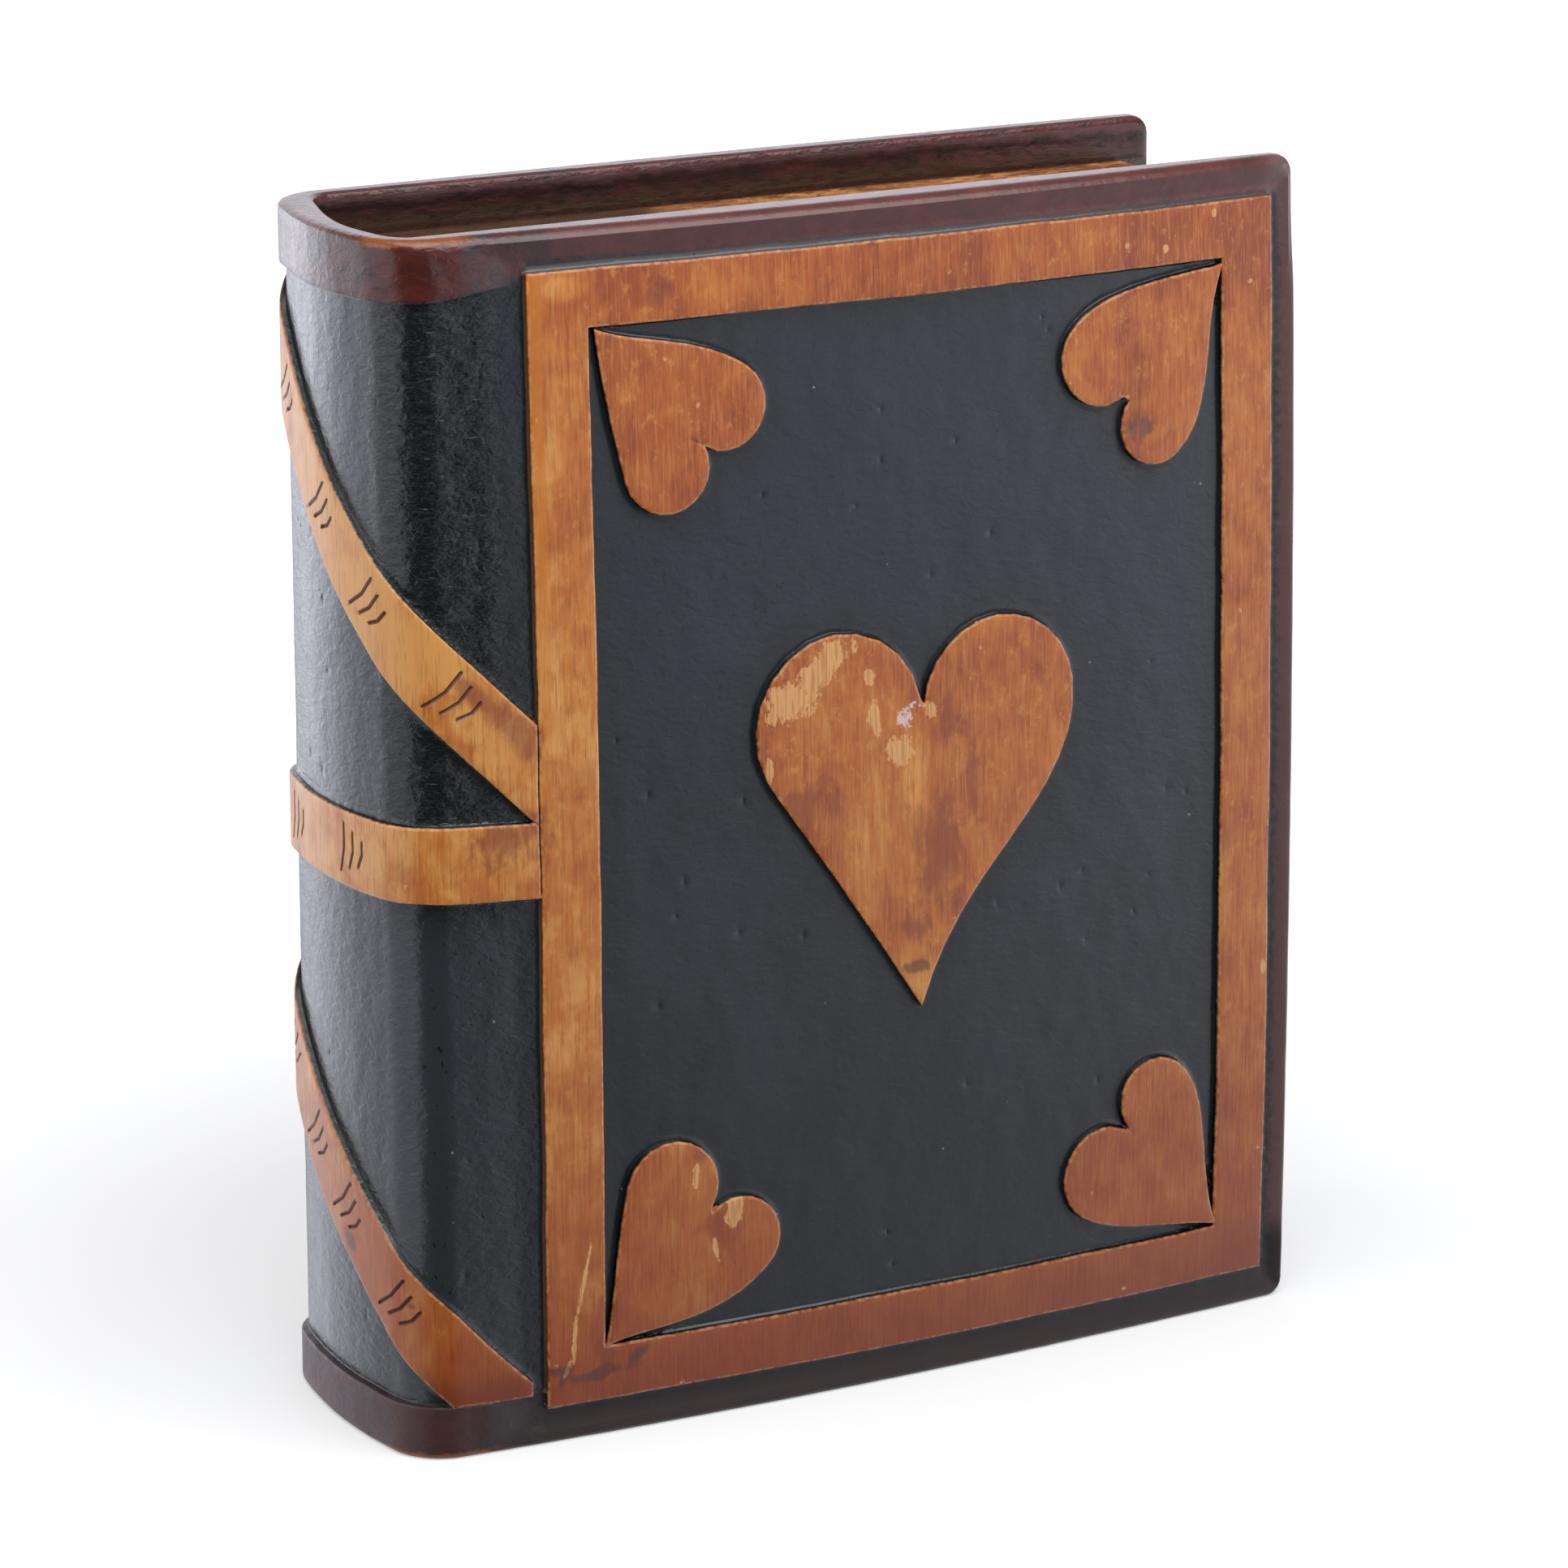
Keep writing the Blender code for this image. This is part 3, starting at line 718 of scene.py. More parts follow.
def make_shell():
    """The bent strip as one closed mesh: carved skin, board edges and inner face."""
    strokes = stroke_marks()
    pits = scatter_pits()
    points, edges, loop = skin_points(strokes, pits)
    points, outer_faces = triangulate(points, edges)
    count = len(loop)
    assert np.allclose(points[:count], loop, atol=1e-4)
    wood = wood_distance(points)
    heights, stroke = skin_heights(points, wood, strokes, pits)
    moved = wandered(points)
    skin = bend(moved, heights)
    inner = inner_points()
    inner_edges = [(index, (index + 1) % count) for index in range(count)]
    inner, inner_faces = triangulate(inner, inner_edges)
    roughness = 0.10 * noise_at(inner, 2.2, 12) * smooth((board_distance(inner) - 1.0) / 2.0)
    inner_skin = bend(inner, roughness, inside=True)
    rows = []
    eased = 0.293 * INNER_ARRIS
    for inset, depth in ((0.0, INNER_ARRIS), (eased, eased)):
        rows.append(bend(strip_loop(inset), np.full(count, depth), inside=True))
    edge_top, edge_foot = skin[:count], rows[0]
    middle = [edge_top + (edge_foot - edge_top) * share for share in (0.2, 0.5, 0.8)]
    side_rows = middle + rows
    verts = np.concatenate([skin] + side_rows + [inner_skin])
    starts = [0]
    starts += [len(skin) + count * index for index in range(len(side_rows))]
    inner_start = len(skin) + count * len(side_rows)
    starts.append(inner_start)
    faces = list(outer_faces)
    slots = [PAINT] * len(faces)
    for upper, lower in zip(starts[:-1], starts[1:]):
        for index in range(count):
            after = (index + 1) % count
            faces.append((upper + after, upper + index, lower + index))
            faces.append((upper + after, lower + index, lower + after))
            slots += [PAINT, PAINT]
    faces += [tuple(inner_start + index for index in reversed(face)) for face in inner_faces]
    slots += [INSIDE] * len(inner_faces)
    mesh = bpy.data.meshes.new("gum_box_case_carved")
    mesh.from_pydata(verts.tolist(), [], faces)
    mesh.polygons.foreach_set("material_index", slots)
    rest = len(verts) - len(points)
    rim = np.concatenate([rim_distance(points), np.full(rest, FAR_OFF)])
    arris = np.concatenate([board_distance(points)]
                           + [np.full(count, value) for value in SIDE_DEPTHS]
                           + [np.full(len(inner), FAR_OFF)])
    side_flat = [np.column_stack((loop, np.zeros(count)))] * len(side_rows)
    flat = np.concatenate([np.column_stack((points, heights))] + side_flat
                          + [np.column_stack((inner, np.zeros(len(inner))))])
    set_attribute(mesh, "flat", flat)
    set_attribute(mesh, "wood", np.concatenate([wood, np.full(rest, -FAR_OFF)]))
    set_attribute(mesh, "rim", rim)
    set_attribute(mesh, "arris", arris)
    set_attribute(mesh, "stroke", np.concatenate([stroke, np.full(rest, FAR_OFF)]))
    return mesh


def set_attribute(mesh, name, values):
    """Keep a number or a vector for each point, for the materials to read."""
    values = np.asarray(values, np.float32)
    kind, field = ("FLOAT_VECTOR", "vector") if values.ndim == 2 else ("FLOAT", "value")
    mesh.attributes.new(name, kind, "POINT").data.foreach_set(field, values.ravel())


# Page block, hollow, groove and lid

def block_outline():
    """Page block seen from above, in millimetres."""
    end = BLOCK_END + CENTRE_X
    reach = INNER_HALF + BLOCK_BITE
    rows = []
    for half, side in ((FRONT, 1), (BACK, -1)):
        lengths = np.linspace(0.0, half.length_two, 13)
        xs, ys = half.place(lengths, np.full(len(lengths), BLOCK_BITE - WALL))
        row = [(x + CENTRE_X, side * y + CENTRE_Y) for x, y in zip(xs, ys) if y > -reach + GAP]
        row.append((end, CENTRE_Y - side * reach))
        rows.append(row)
    front_row, back_row = rows
    return front_row + list(reversed(back_row[1:]))


def prism(name, outline, low, high, slot, axis="Z"):
    """Closed solid with a flat outline in millimetres, upright, or lying along X."""
    work = bmesh.new()
    rings = []
    for level in (low, high):
        if axis == "Z":
            rings.append([work.verts.new((x * MM, y * MM, level * MM)) for x, y in outline])
        else:
            rings.append([work.verts.new((level * MM, y * MM, z * MM)) for y, z in outline])
    work.faces.new(rings[0])
    work.faces.new(rings[1])
    for index in range(len(outline)):
        after = (index + 1) % len(outline)
        work.faces.new((rings[0][index], rings[0][after], rings[1][after], rings[1][index]))
    bmesh.ops.recalc_face_normals(work, faces=work.faces)
    for face in work.faces:
        face.material_index = slot
    mesh = bpy.data.meshes.new(name)
    work.to_mesh(mesh)
    work.free()
    return bpy.data.objects.new(name, mesh)


def lid_section(gap, foot, head):
    """Section of the lid, or of its groove, seen from the fore-edge."""
    side_gap = gap * math.sqrt(1 + LID_BEVEL ** 2)
    low_half, high_half = (
        INNER_HALF - GAP + side_gap + (BLOCK_HEAD - level) * LID_BEVEL for level in (foot, head))
    return [(CENTRE_Y - low_half, foot), (CENTRE_Y + low_half, foot),
            (CENTRE_Y + high_half, head), (CENTRE_Y - high_half, head)]


def combine(target, tool, operation):
    """Cut the target with a tool, or join the tool to it; the tool is used up."""
    bpy.context.scene.collection.objects.link(tool)
    for material in target.data.materials:
        tool.data.materials.append(material)
    modifier = target.modifiers.new(operation.title(), "BOOLEAN")
    modifier.operation = operation
    modifier.solver = "MANIFOLD"
    modifier.object = tool
    bpy.context.view_layer.update()
    evaluated = target.evaluated_get(bpy.context.evaluated_depsgraph_get())
    mesh = bpy.data.meshes.new_from_object(evaluated)
    target.modifiers.clear()
    old, target.data = target.data, mesh
    bpy.data.meshes.remove(old)
    bpy.data.objects.remove(tool)


def shade(piece, angle):
    piece.data.shade_smooth()
    piece.data.set_sharp_from_angle(angle=math.radians(angle))


def make_case(materials):
    """The whole case as one closed piece, hollow under the lid."""
    case = bpy.data.objects.new("gum_box_case_carved", make_shell())
    bpy.context.scene.collection.objects.link(case)
    for material in materials:
        case.data.materials.append(material)
    block = prism("block", block_outline(), BLOCK_FOOT, BLOCK_HEAD, BARE)
    combine(case, block, "UNION")
    half = INNER_HALF - SIDE_LEDGE
    plan = rounded_rectangle(SPINE_WOOD + CENTRE_X, BLOCK_END - FORE_WOOD + CENTRE_X,
                             CENTRE_Y - half, CENTRE_Y + half, HOLLOW_CORNER, 6)
    hollow = prism("hollow", plan, BLOCK_FOOT + FLOOR_WOOD, BLOCK_HEAD + CUTTER_ROOM, BARE)
    combine(case, hollow, "DIFFERENCE")
    ledge = BLOCK_HEAD - LID_THICK - GAP
    groove = prism("groove", lid_section(GAP, ledge, BLOCK_HEAD + CUTTER_ROOM),
                   LID_START - GAP + CENTRE_X, WIDTH + CUTTER_ROOM + CENTRE_X, BARE, axis="X")
    combine(case, groove, "DIFFERENCE")
    shade(case, 32)
    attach(case, "case")
    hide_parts("gum_box_case")


def make_lid(material):
    """The lid, with eased edges and a slightly uneven, hand-planed face."""
    lid = prism("sliding_lid_planed", lid_section(0.0, BLOCK_HEAD - LID_THICK, BLOCK_HEAD),
                LID_START + CENTRE_X, BLOCK_END + CENTRE_X, 0, axis="X")
    bpy.context.scene.collection.objects.link(lid)
    work = bmesh.new()
    work.from_mesh(lid.data)
    bmesh.ops.bevel(work, geom=work.edges[:], offset=LID_ARRIS * MM, segments=2, affect="EDGES",
                    profile=0.5, clamp_overlap=True)
    step = LID_GRID * MM
    low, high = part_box("sliding_lid")
    for axis in (0, 1):
        normal = Vector((0.0, 0.0, 0.0))
        normal[axis] = 1.0
        for index in range(1, int((high[axis] - low[axis]) / step)):
            place = Vector(low)
            place[axis] += index * step
            bmesh.ops.bisect_plane(work, geom=work.verts[:] + work.edges[:] + work.faces[:],
                                   dist=1e-6, plane_co=place, plane_no=normal)
    bmesh.ops.triangulate(work, faces=work.faces)
    bmesh.ops.recalc_face_normals(work, faces=work.faces)
    work.to_mesh(lid.data)
    work.free()
    top = BLOCK_HEAD * MM - 1e-5
    for vertex in lid.data.vertices:
        if vertex.co.z > top:
            dip = 1 + noise.noise(Vector((vertex.co.x * 60, vertex.co.y * 300, 3.0)))
            vertex.co.z -= LID_UNEVEN * MM * dip
    lid.data.materials.append(material)
    shade(lid, 40)
    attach(lid, "lid")
    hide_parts("sliding_lid")


# Materials

class Value:
    """A number that a node gives, so that materials can be written as sums."""

    def __init__(self, graph, socket):
        self.graph = graph
        self.socket = socket

    def __add__(self, other):
        return self.graph.math("ADD", self, other)

    def __sub__(self, other):
        return self.graph.math("SUBTRACT", self, other)

    def __rsub__(self, other):
        return self.graph.math("SUBTRACT", other, self)

    def __mul__(self, other):
        return self.graph.math("MULTIPLY", self, other)

    __radd__ = __add__
    __rmul__ = __mul__


class Graph:
    """Short ways to add shader nodes and join them."""

    def __init__(self, tree):
        self.tree = tree

    def node(self, kind, inputs=(), **settings):
        made = self.tree.nodes.new("ShaderNode" + kind)
        for name, value in settings.items():
            setattr(made, name, value)
        for key, value in dict(inputs).items():
            self.set(made.inputs[key], value)
        return made

    def set(self, socket, value):
        if isinstance(value, Value):
            self.tree.links.new(value.socket, socket)
        elif isinstance(value, bpy.types.NodeSocket):
            self.tree.links.new(value, socket)
        elif socket.type == "RGBA":
            socket.default_value = (*value, 1.0)
        else:
            socket.default_value = value

    def value(self, kind, inputs, output=0, **settings):
        """A number from a new node."""
        return Value(self, self.node(kind, inputs, **settings).outputs[output])

    def attribute(self, name):
        """A number kept for each point of the mesh."""
        return self.value("Attribute", (), "Fac", attribute_name=name)

    def flat(self):
        """Place on the flat strip, in millimetres."""
        return self.node("Attribute", attribute_name="flat").outputs["Vector"]

    def place(self, stretch):
        """Object coordinates in millimetres, stretched along each axis."""
        source = self.node("TexCoord").outputs["Object"]
        scale = tuple(1 / (MM * axis) for axis in stretch)
        return self.vector("MULTIPLY", source, scale)

    def vector(self, operation, first, second):
        return self.node("VectorMath", {0: first, 1: second}, operation=operation).outputs[0]

    def length(self, vector):
        return self.value("VectorMath", {0: vector}, "Value", operation="LENGTH")

    def parts(self, vector):
        """A vector's three numbers."""
        return [Value(self, socket) for socket in self.node("SeparateXYZ", {0: vector}).outputs]

    def noise(self, stretch, detail, rough=0.5, warp=0.0):
        inputs = {"Vector": self.place(stretch), "Scale": 1.0, "Detail": detail,
                  "Roughness": rough, "Distortion": warp}
        return self.value("TexNoise", inputs)

    def math(self, operation, first, second):
        return self.value("Math", {0: first, 1: second}, operation=operation)

    def step(self, value, low, high):
        """0 below low and 1 above high, smoothly."""
        inputs = {"Value": value, "From Min": low, "From Max": high}
        return self.value("MapRange", inputs, interpolation_type="SMOOTHSTEP")

    def spread(self, value, low, high, start, stop):
        """From start at low to stop at high, evenly."""
        return self.value("MapRange", {"Value": value, "From Min": low, "From Max": high,
                                       "To Min": start, "To Max": stop})

    def between(self, value, low, high, fade):
        """1 between two values, fading to 0 outside."""
        return self.step(value, low - fade, low) * self.step(value, high + fade, high)

    def ramp(self, value, *stops):
        made = self.node("ValToRGB", {"Fac": value})
        elements = made.color_ramp.elements
        while len(elements) < len(stops):
            elements.new(0.5)
        for element, (position, colour) in zip(elements, stops):
            element.position = position
            element.color = (*colour, 1.0)
        return made.outputs["Color"]

    def mix(self, share, first, second):
        """From the first colour to the second."""
        made = self.node("Mix", {0: share, 6: first, 7: second}, data_type="RGBA")
        return made.outputs[2]

    def blend(self, share, first, second):
        """The same between two numbers."""
        return self.value("Mix", {0: share, 2: first, 3: second}, data_type="FLOAT")

    def coats(self, colour, *coats):
        """Coats over a colour, one by one: where each lies, how strongly, and its colour."""
        for share, strength, tint in coats:
            colour = self.mix(share * strength, colour, tint)
        return colour

    def reach(self, flat, centre, size, turn):
        """Distance from a patch's centre, 1 at its edge. Turn in degrees, sizes in millimetres."""
        offset = self.vector("SUBTRACT", flat, (*centre, 0.0))
        if turn:
            inputs = {"Vector": offset, "Angle": math.radians(-turn)}
            offset = self.node("VectorRotate", inputs, rotation_type="Z_AXIS").outputs[0]
        return self.length(self.vector("MULTIPLY", offset, (1 / size[0], 1 / size[1], 0.0)))

    def blots(self, flat, ragged, marks, fade):
        """1 inside any of several patches with uneven edges, 0 outside them."""
        nearest, *others = [self.reach(flat, *mark) for mark in marks]
        for other in others:
            nearest = self.math("MINIMUM", nearest, other)
        return self.step(nearest + ragged, 1.0 + fade, 1.0 - fade)

    def specks(self, size, radius, rarity):
        """Small dots, thinly scattered: size of the cells, of a dot, and share of bare cells."""
        cells = self.node("TexVoronoi", {"Vector": self.place((size, size, size)), "Scale": 1.0})
        dot = self.step(cells.outputs["Distance"], radius * 1.3, radius * 0.7)
        chance = self.value("SeparateColor", {0: cells.outputs["Color"]})
        return dot * self.math("GREATER_THAN", chance, rarity)

    def bump(self, height, distance, strength):
        inputs = {"Height": height, "Distance": distance * MM, "Strength": strength}
        return self.node("Bump", inputs).outputs["Normal"]


def make_material(name):
    """A new material and the graph of its nodes."""
    material = bpy.data.materials.new(name)
    material.use_nodes = True
    return material, Graph(material.node_tree)


def finish_material(material, graph, **inputs):
    """Give the material's shader its inputs, named as the sockets with _ for a space."""
    shader = graph.tree.nodes["Principled BSDF"]
    for name, value in inputs.items():
        graph.set(shader.inputs[name.replace("_", " ")], value)
    return material


# Marks on the carved wood: centre on the strip, half sizes in millimetres, turn in degrees
BARE_PATCHES = (
    ((72.0, 93.4), (1.9, 5.0), -50), ((67.8, 90.0), (3.4, 2.3), 16), ((78.7, 91.7), (0.7, 1.0), 0),
    ((79.1, 86.8), (0.9, 2.0), 8), ((82.6, 82.0), (1.7, 1.7), 0), ((87.2, 86.7), (0.9, 1.0), 0),
    ((64.9, 81.6), (0.5, 2.0), 0), ((59.8, 26.4), (1.3, 2.0), 0), ((57.2, 21.7), (0.35, 1.5), 12),
    ((54.6, 31.6), (0.5, 1.4), 0), ((39.6, 20.5), (0.25, 4.4), -12), ((38.3, 13.0), (0.35, 3.0), -4),
    ((37.4, 9.6), (0.3, 1.2), -20), ((136.9, 45.6), (0.4, 0.8), 0), ((121.4, 140.2), (0.45, 0.5), 0),
    ((128.7, 143.8), (0.3, 0.5), 0), ((134.2, 134.9), (0.4, 0.35), 0))
GOLDEN_PATCHES = (
    ((78.2, 70.0), (3.0, 9.0), 0), ((84.6, 77.5), (2.0, 6.0), 0), ((21.7, 101.0), (4.5, 3.0), -42),
    ((26.5, 92.3), (2.8, 1.6), -42), ((40.5, 18.5), (1.8, 2.6), 0), ((9.6, 106.5), (3.0, 3.0), 0),
    ((85.3, 53.5), (2.6, 3.8), 0), ((60.5, 142.0), (4.0, 2.6), 0), ((38.8, 143.2), (2.6, 1.2), 0))
RED_STAINS = (
    ((90.0, 85.0), (1.8, 2.6), 0), ((92.8, 79.0), (0.7, 6.5), 4), ((88.4, 68.0), (3.4, 6.5), 6),
    ((69.5, 76.0), (4.0, 3.0), 0), ((51.3, 142.0), (1.6, 1.8), 0), ((42.5, 13.0), (1.4, 3.6), 0),
    ((31.8, 90.6), (4.2, 1.7), -42), ((28.2, 94.6), (2.8, 1.0), -42), ((31.2, 77.0), (4.4, 2.8), 0),
    ((58.2, 24.0), (2.2, 2.6), 0), ((56.0, 34.5), (2.0, 0.8), -20), ((85.4, 59.2), (1.7, 1.5), 0),
    ((121.9, 117.3), (1.0, 1.5), 0))
DARK_STAINS = (
    ((118.2, 118.4), (1.7, 2.1), 0), ((36.6, 9.3), (1.2, 0.6), 0), ((42.0, 8.3), (4.0, 0.7), 4),
    ((46.8, 9.9), (1.8, 0.6), 30), ((85.1, 54.1), (1.5, 0.6), 0), ((17.6, 19.6), (0.6, 0.6), 0),
    ((5.0, 25.0), (1.5, 0.7), -42))
GLUE_SPOTS = (((83.5, 86.2), (1.3, 1.2), 0), ((84.9, 87.5), (0.7, 0.5), 0))
SCUFFS = (
    ((66.0, 59.5), (3.0, 2.4), 0), ((95.9, 45.5), (2.4, 2.6), 0), ((71.5, 22.4), (3.2, 2.8), 0),
    ((96.4, 113.2), (3.4, 2.6), 0), ((118.0, 62.0), (3.0, 9.0), 0), ((66.5, 52.0), (3.0, 3.0), 0))


def wood_grain(graph):
    """Fine upright grain of one block of wood: broad streaks and hairlines."""
    return graph.noise((0.60, 0.60, 16.0), 3.0, 0.65), graph.noise((0.24, 0.24, 4.0), 1.0)


def varnished_wood(graph, flat, wood, stroke, rim, speck):
    """Colour of the raised wood: honey varnish, redder or more golden by place, and its marks, with painted
    shade low down and painted highlights high on the spine and along the edges.
    """
    along, up, _ = graph.parts(flat)
    fine, hair = wood_grain(graph)
    broad = graph.noise((15.0, 15.0, 24.0), 4.0, 0.60, 0.6)
    mottle = graph.noise((3.2, 3.2, 5.0), 5.0, 0.62, 0.5)
    torn = graph.noise((1.5, 1.5, 2.0), 5.0, 0.72)
    crumbs = graph.noise((0.45, 0.45, 0.60), 3.0, 0.7)
    ragged = torn * 2.6 + crumbs - 1.8
    cloudy = mottle * 4.0 - 2.0

    on_stile = graph.between(along, -99.0, FRONT_NEAR + STILE, 1.5)
    on_far_stile = graph.between(along, FRONT_FAR - STILE, 200.0, 1.5)
    near_top = graph.step(up, FRAME_HEAD - RAIL - 6.0, FRAME_HEAD - RAIL)
    middle = graph.between(up, 50.0, 100.0, 50.0)
    # pale: a painted highlight high on the spine and back cover, and a more golden tone there
    pale = graph.step(along, 24.0, 14.0) * graph.step(up, 80.0, 95.0)
    golden = 0.33 + on_stile * (0.22 + 0.12 * middle) - 0.06 * on_far_stile - 0.09 * near_top
    golden += 0.30 * pale + 0.13 * middle - 0.03 * graph.step(up, 100.0, 138.0)
    golden += 1.4 * (broad - 0.5) + 1.2 * (mottle - 0.5) + 0.9 * (fine - 0.5)
    golden += 0.38 * graph.blots(flat, cloudy, GOLDEN_PATCHES, 0.5)
    colour = graph.ramp(golden, (0.0, (0.230, 0.042, 0.006)), (0.35, (0.345, 0.083, 0.011)),
                        (0.68, (0.430, 0.138, 0.020)), (1.0, (0.575, 0.262, 0.064)))

    spots = graph.step(torn, 0.55, 0.68) * graph.step(up, 15.0, 45.0)
    pool = graph.between(along, FRONT_NEAR - 0.5, FRONT_NEAR + 1.3, 0.5) * graph.step(up, 60.0, 120.0)
    on_spine = graph.step(along, FRONT_NEAR - 0.2, FRONT_NEAR - 0.6)
    band_end = on_spine * graph.step(cloudy * 2.5 + rim, -5.0, -0.5)
    # arris: a pale line along the raised wood's edges, partly worn edges and partly a painted highlight
    arris = graph.between(wood, 0.0, 0.22, 0.12) * graph.step(speck, 0.40, 0.60)
    bare = graph.mix(graph.step(hair, 0.46, 0.66), (0.60, 0.31, 0.11), (0.44, 0.20, 0.06))
    chips = graph.specks(4.2, 0.08, 0.68) * graph.step(crumbs, 0.44, 0.56)
    glue = graph.blots(flat, ragged, GLUE_SPOTS, 0.12) * graph.step(speck, 0.40, 0.52)
    return fine, graph.coats(
        colour,
        (graph.step(fine, 0.47, 0.66), 0.18, (0.19, 0.045, 0.012)),
        (graph.step(hair, 0.55, 0.72), 0.36, (0.13, 0.032, 0.012)),
        (graph.step(hair, 0.46, 0.30), 0.20, (0.56, 0.28, 0.08)),
        (spots, 0.42, (0.54, 0.24, 0.05)),
        (pool, 0.60, (0.44, 0.130, 0.004)),
        (graph.blots(flat, cloudy, RED_STAINS, 0.55), 0.60, (0.180, 0.036, 0.014)),
        (band_end, 0.85, (0.070, 0.020, 0.010)),
        # painted shade: darker and redder towards the foot, and again on the bottom rail
        (graph.step(up, 60.0, 5.0), 0.54, (0.205, 0.028, 0.001)),
        (graph.step(up, FRAME_FOOT + RAIL + 5.0, FRAME_FOOT + 1.0), 0.54, (0.165, 0.021, 0.001)),
        # pale edge line: wear and a painted highlight
        (arris, 0.34, (0.60, 0.33, 0.15)),
        (graph.blots(flat, ragged, BARE_PATCHES, 0.10), 0.88, bare),
        (chips, 0.60, (0.66, 0.36, 0.15)),
        (graph.blots(flat, cloudy, DARK_STAINS, 0.45), 0.64, (0.055, 0.020, 0.020)),
        (glue, 0.80, (0.62, 0.46, 0.46)),
        (graph.step(speck * 0.06 + stroke, 0.38, 0.22), 0.85, (0.085, 0.026, 0.020)))


def black_ground(graph, flat, wood, ragged):
    """Colour of the black paint, with dust, and faint scuffs in places; with a painted sheen towards the top
    and low on the spine's turn, painted shade low down, by the raised wood and in pits, and painted
    highlights on the wrinkles' crests.
    """
    along, up, _ = graph.parts(flat)
    cloud = graph.noise((12.0, 12.0, 18.0), 5.0, 0.65)
    black = graph.ramp(cloud, (0.38, (0.0050, 0.0085, 0.0080)), (0.50, (0.0080, 0.0105, 0.0130)),
                       (0.65, (0.0120, 0.0150, 0.0200)))
    turn = graph.between(along, *WRINKLED, 2.2)
    upper = graph.step(up, *WRINKLE_FADE)
    # the turn's black: deep among the wrinkles, and paler below them as a painted sheen
    wet_black_and_sheen = graph.mix(upper, (0.0230, 0.0270, 0.0300), (0.0012, 0.0022, 0.0022))
    folds = graph.noise((1.7, 1.7, 0.55), 2.0, 0.5, 1.2)
    # painted highlights: paler lines along the crests of the spine's wrinkles
    crest_highlights = graph.between(folds, 0.50, 0.53, 0.04) * (turn * upper)
    above_frame = (graph.step(up, FRAME_HEAD - 0.3, FRAME_HEAD + 0.2)
                   * graph.between(wood, -0.55, -0.05, 0.35))
    seam = (graph.between(along, FRONT_NEAR - 0.7, FRONT_NEAR + 0.4, 0.3)
            * graph.step(wood, -0.30, -0.15))
    field = (graph.between(along, FRONT_NEAR + STILE, FRONT_NEAR + 35.0, 14.0)
             * graph.between(up, 78.0, 112.0, 14.0))
    # painted shade: dark specks for tiny pits, thicker in the field by the left stile
    pit_shade = graph.step(field * 0.06 + graph.noise((0.60, 0.60, 1.2), 2.0), 0.69, 0.72)
    wisps = graph.step(graph.noise((0.8, 0.8, 1.4), 4.0, 0.75, 0.8), 0.62, 0.72)
    scuffed = graph.blots(flat, ragged, SCUFFS, 0.5)
    return graph.coats(
        black,
        # painted sheen: the black turns bluer towards the top
        (graph.step(up, 55.0, 125.0), 0.60, (0.0065, 0.0085, 0.0220)),
        # painted shade: darker close to the raised wood, with a greener tone there
        (graph.step(cloud * 6.0 + wood, -2.5, 2.0), 0.80, (0.0030, 0.0060, 0.0055)),
        # painted shade: darker towards the foot
        (graph.step(up, 60.0, 20.0), 0.65, (0.0015, 0.0030, 0.0030)),
        (turn, 0.80, wet_black_and_sheen),
        (crest_highlights, 0.60, (0.0220, 0.0270, 0.0300)),
        (above_frame, 0.60, (0.105, 0.098, 0.098)),
        (seam, 0.90, (0.110, 0.042, 0.016)),
        (pit_shade, 0.85, (0.0015, 0.0020, 0.0020)),
        (graph.specks(5.5, 0.034, 0.55), 0.7, (0.20, 0.23, 0.22)),
        (scuffed * wisps, 0.35, (0.110, 0.125, 0.120)))


def oxblood_rim(graph, flat, arris):
    """Colour of the dark red rims, rubbed to orange along their edges round the spine's corner."""
    along, up, _ = graph.parts(flat)
    cloud = graph.noise((5.0, 5.0, 3.0), 5.0, 0.7, 0.5)
    oxblood = graph.ramp(cloud, (0.30, (0.022, 0.0080, 0.0075)), (0.52, (0.070, 0.0125, 0.0095)),
                         (0.75, (0.110, 0.0210, 0.0120)))
    soot = graph.between(along, 28.5, 37.0, 2.5) * graph.step(cloud, 0.42, 0.58)
    foot = graph.step(up, 12.0, 7.0)
    rub = graph.noise((2.2, 2.2, 0.8), 4.0, 0.7)
    edge = graph.step(arris - 1.8 * rub, 0.10, -0.40)
    rubbed = edge * (0.62 * graph.between(along, 15.5, 26.0, 4.0) + 0.04)
    return graph.coats(
        oxblood,
        (graph.step(along, FRONT_NEAR - 4.0, FRONT_NEAR + 4.0), 0.45, (0.092, 0.0260, 0.0255)),
        (graph.between(along, 17.5, 26.0, 2.5), 0.55, (0.060, 0.0085, 0.0045)),
        (soot, 0.75, (0.014, 0.0130, 0.0150)),
        (graph.step(along, FRONT_FAR - 2.0, FRONT_FAR + 2.0), 0.80, (0.120, 0.0720, 0.0690)),
        (foot, 0.50, (0.022, 0.0100, 0.0085)),
        (foot * graph.step(along, 21.0, 33.0), 0.85, (0.009, 0.0040, 0.0030)),
        (rubbed, 1.0, (0.26, 0.070, 0.012)))


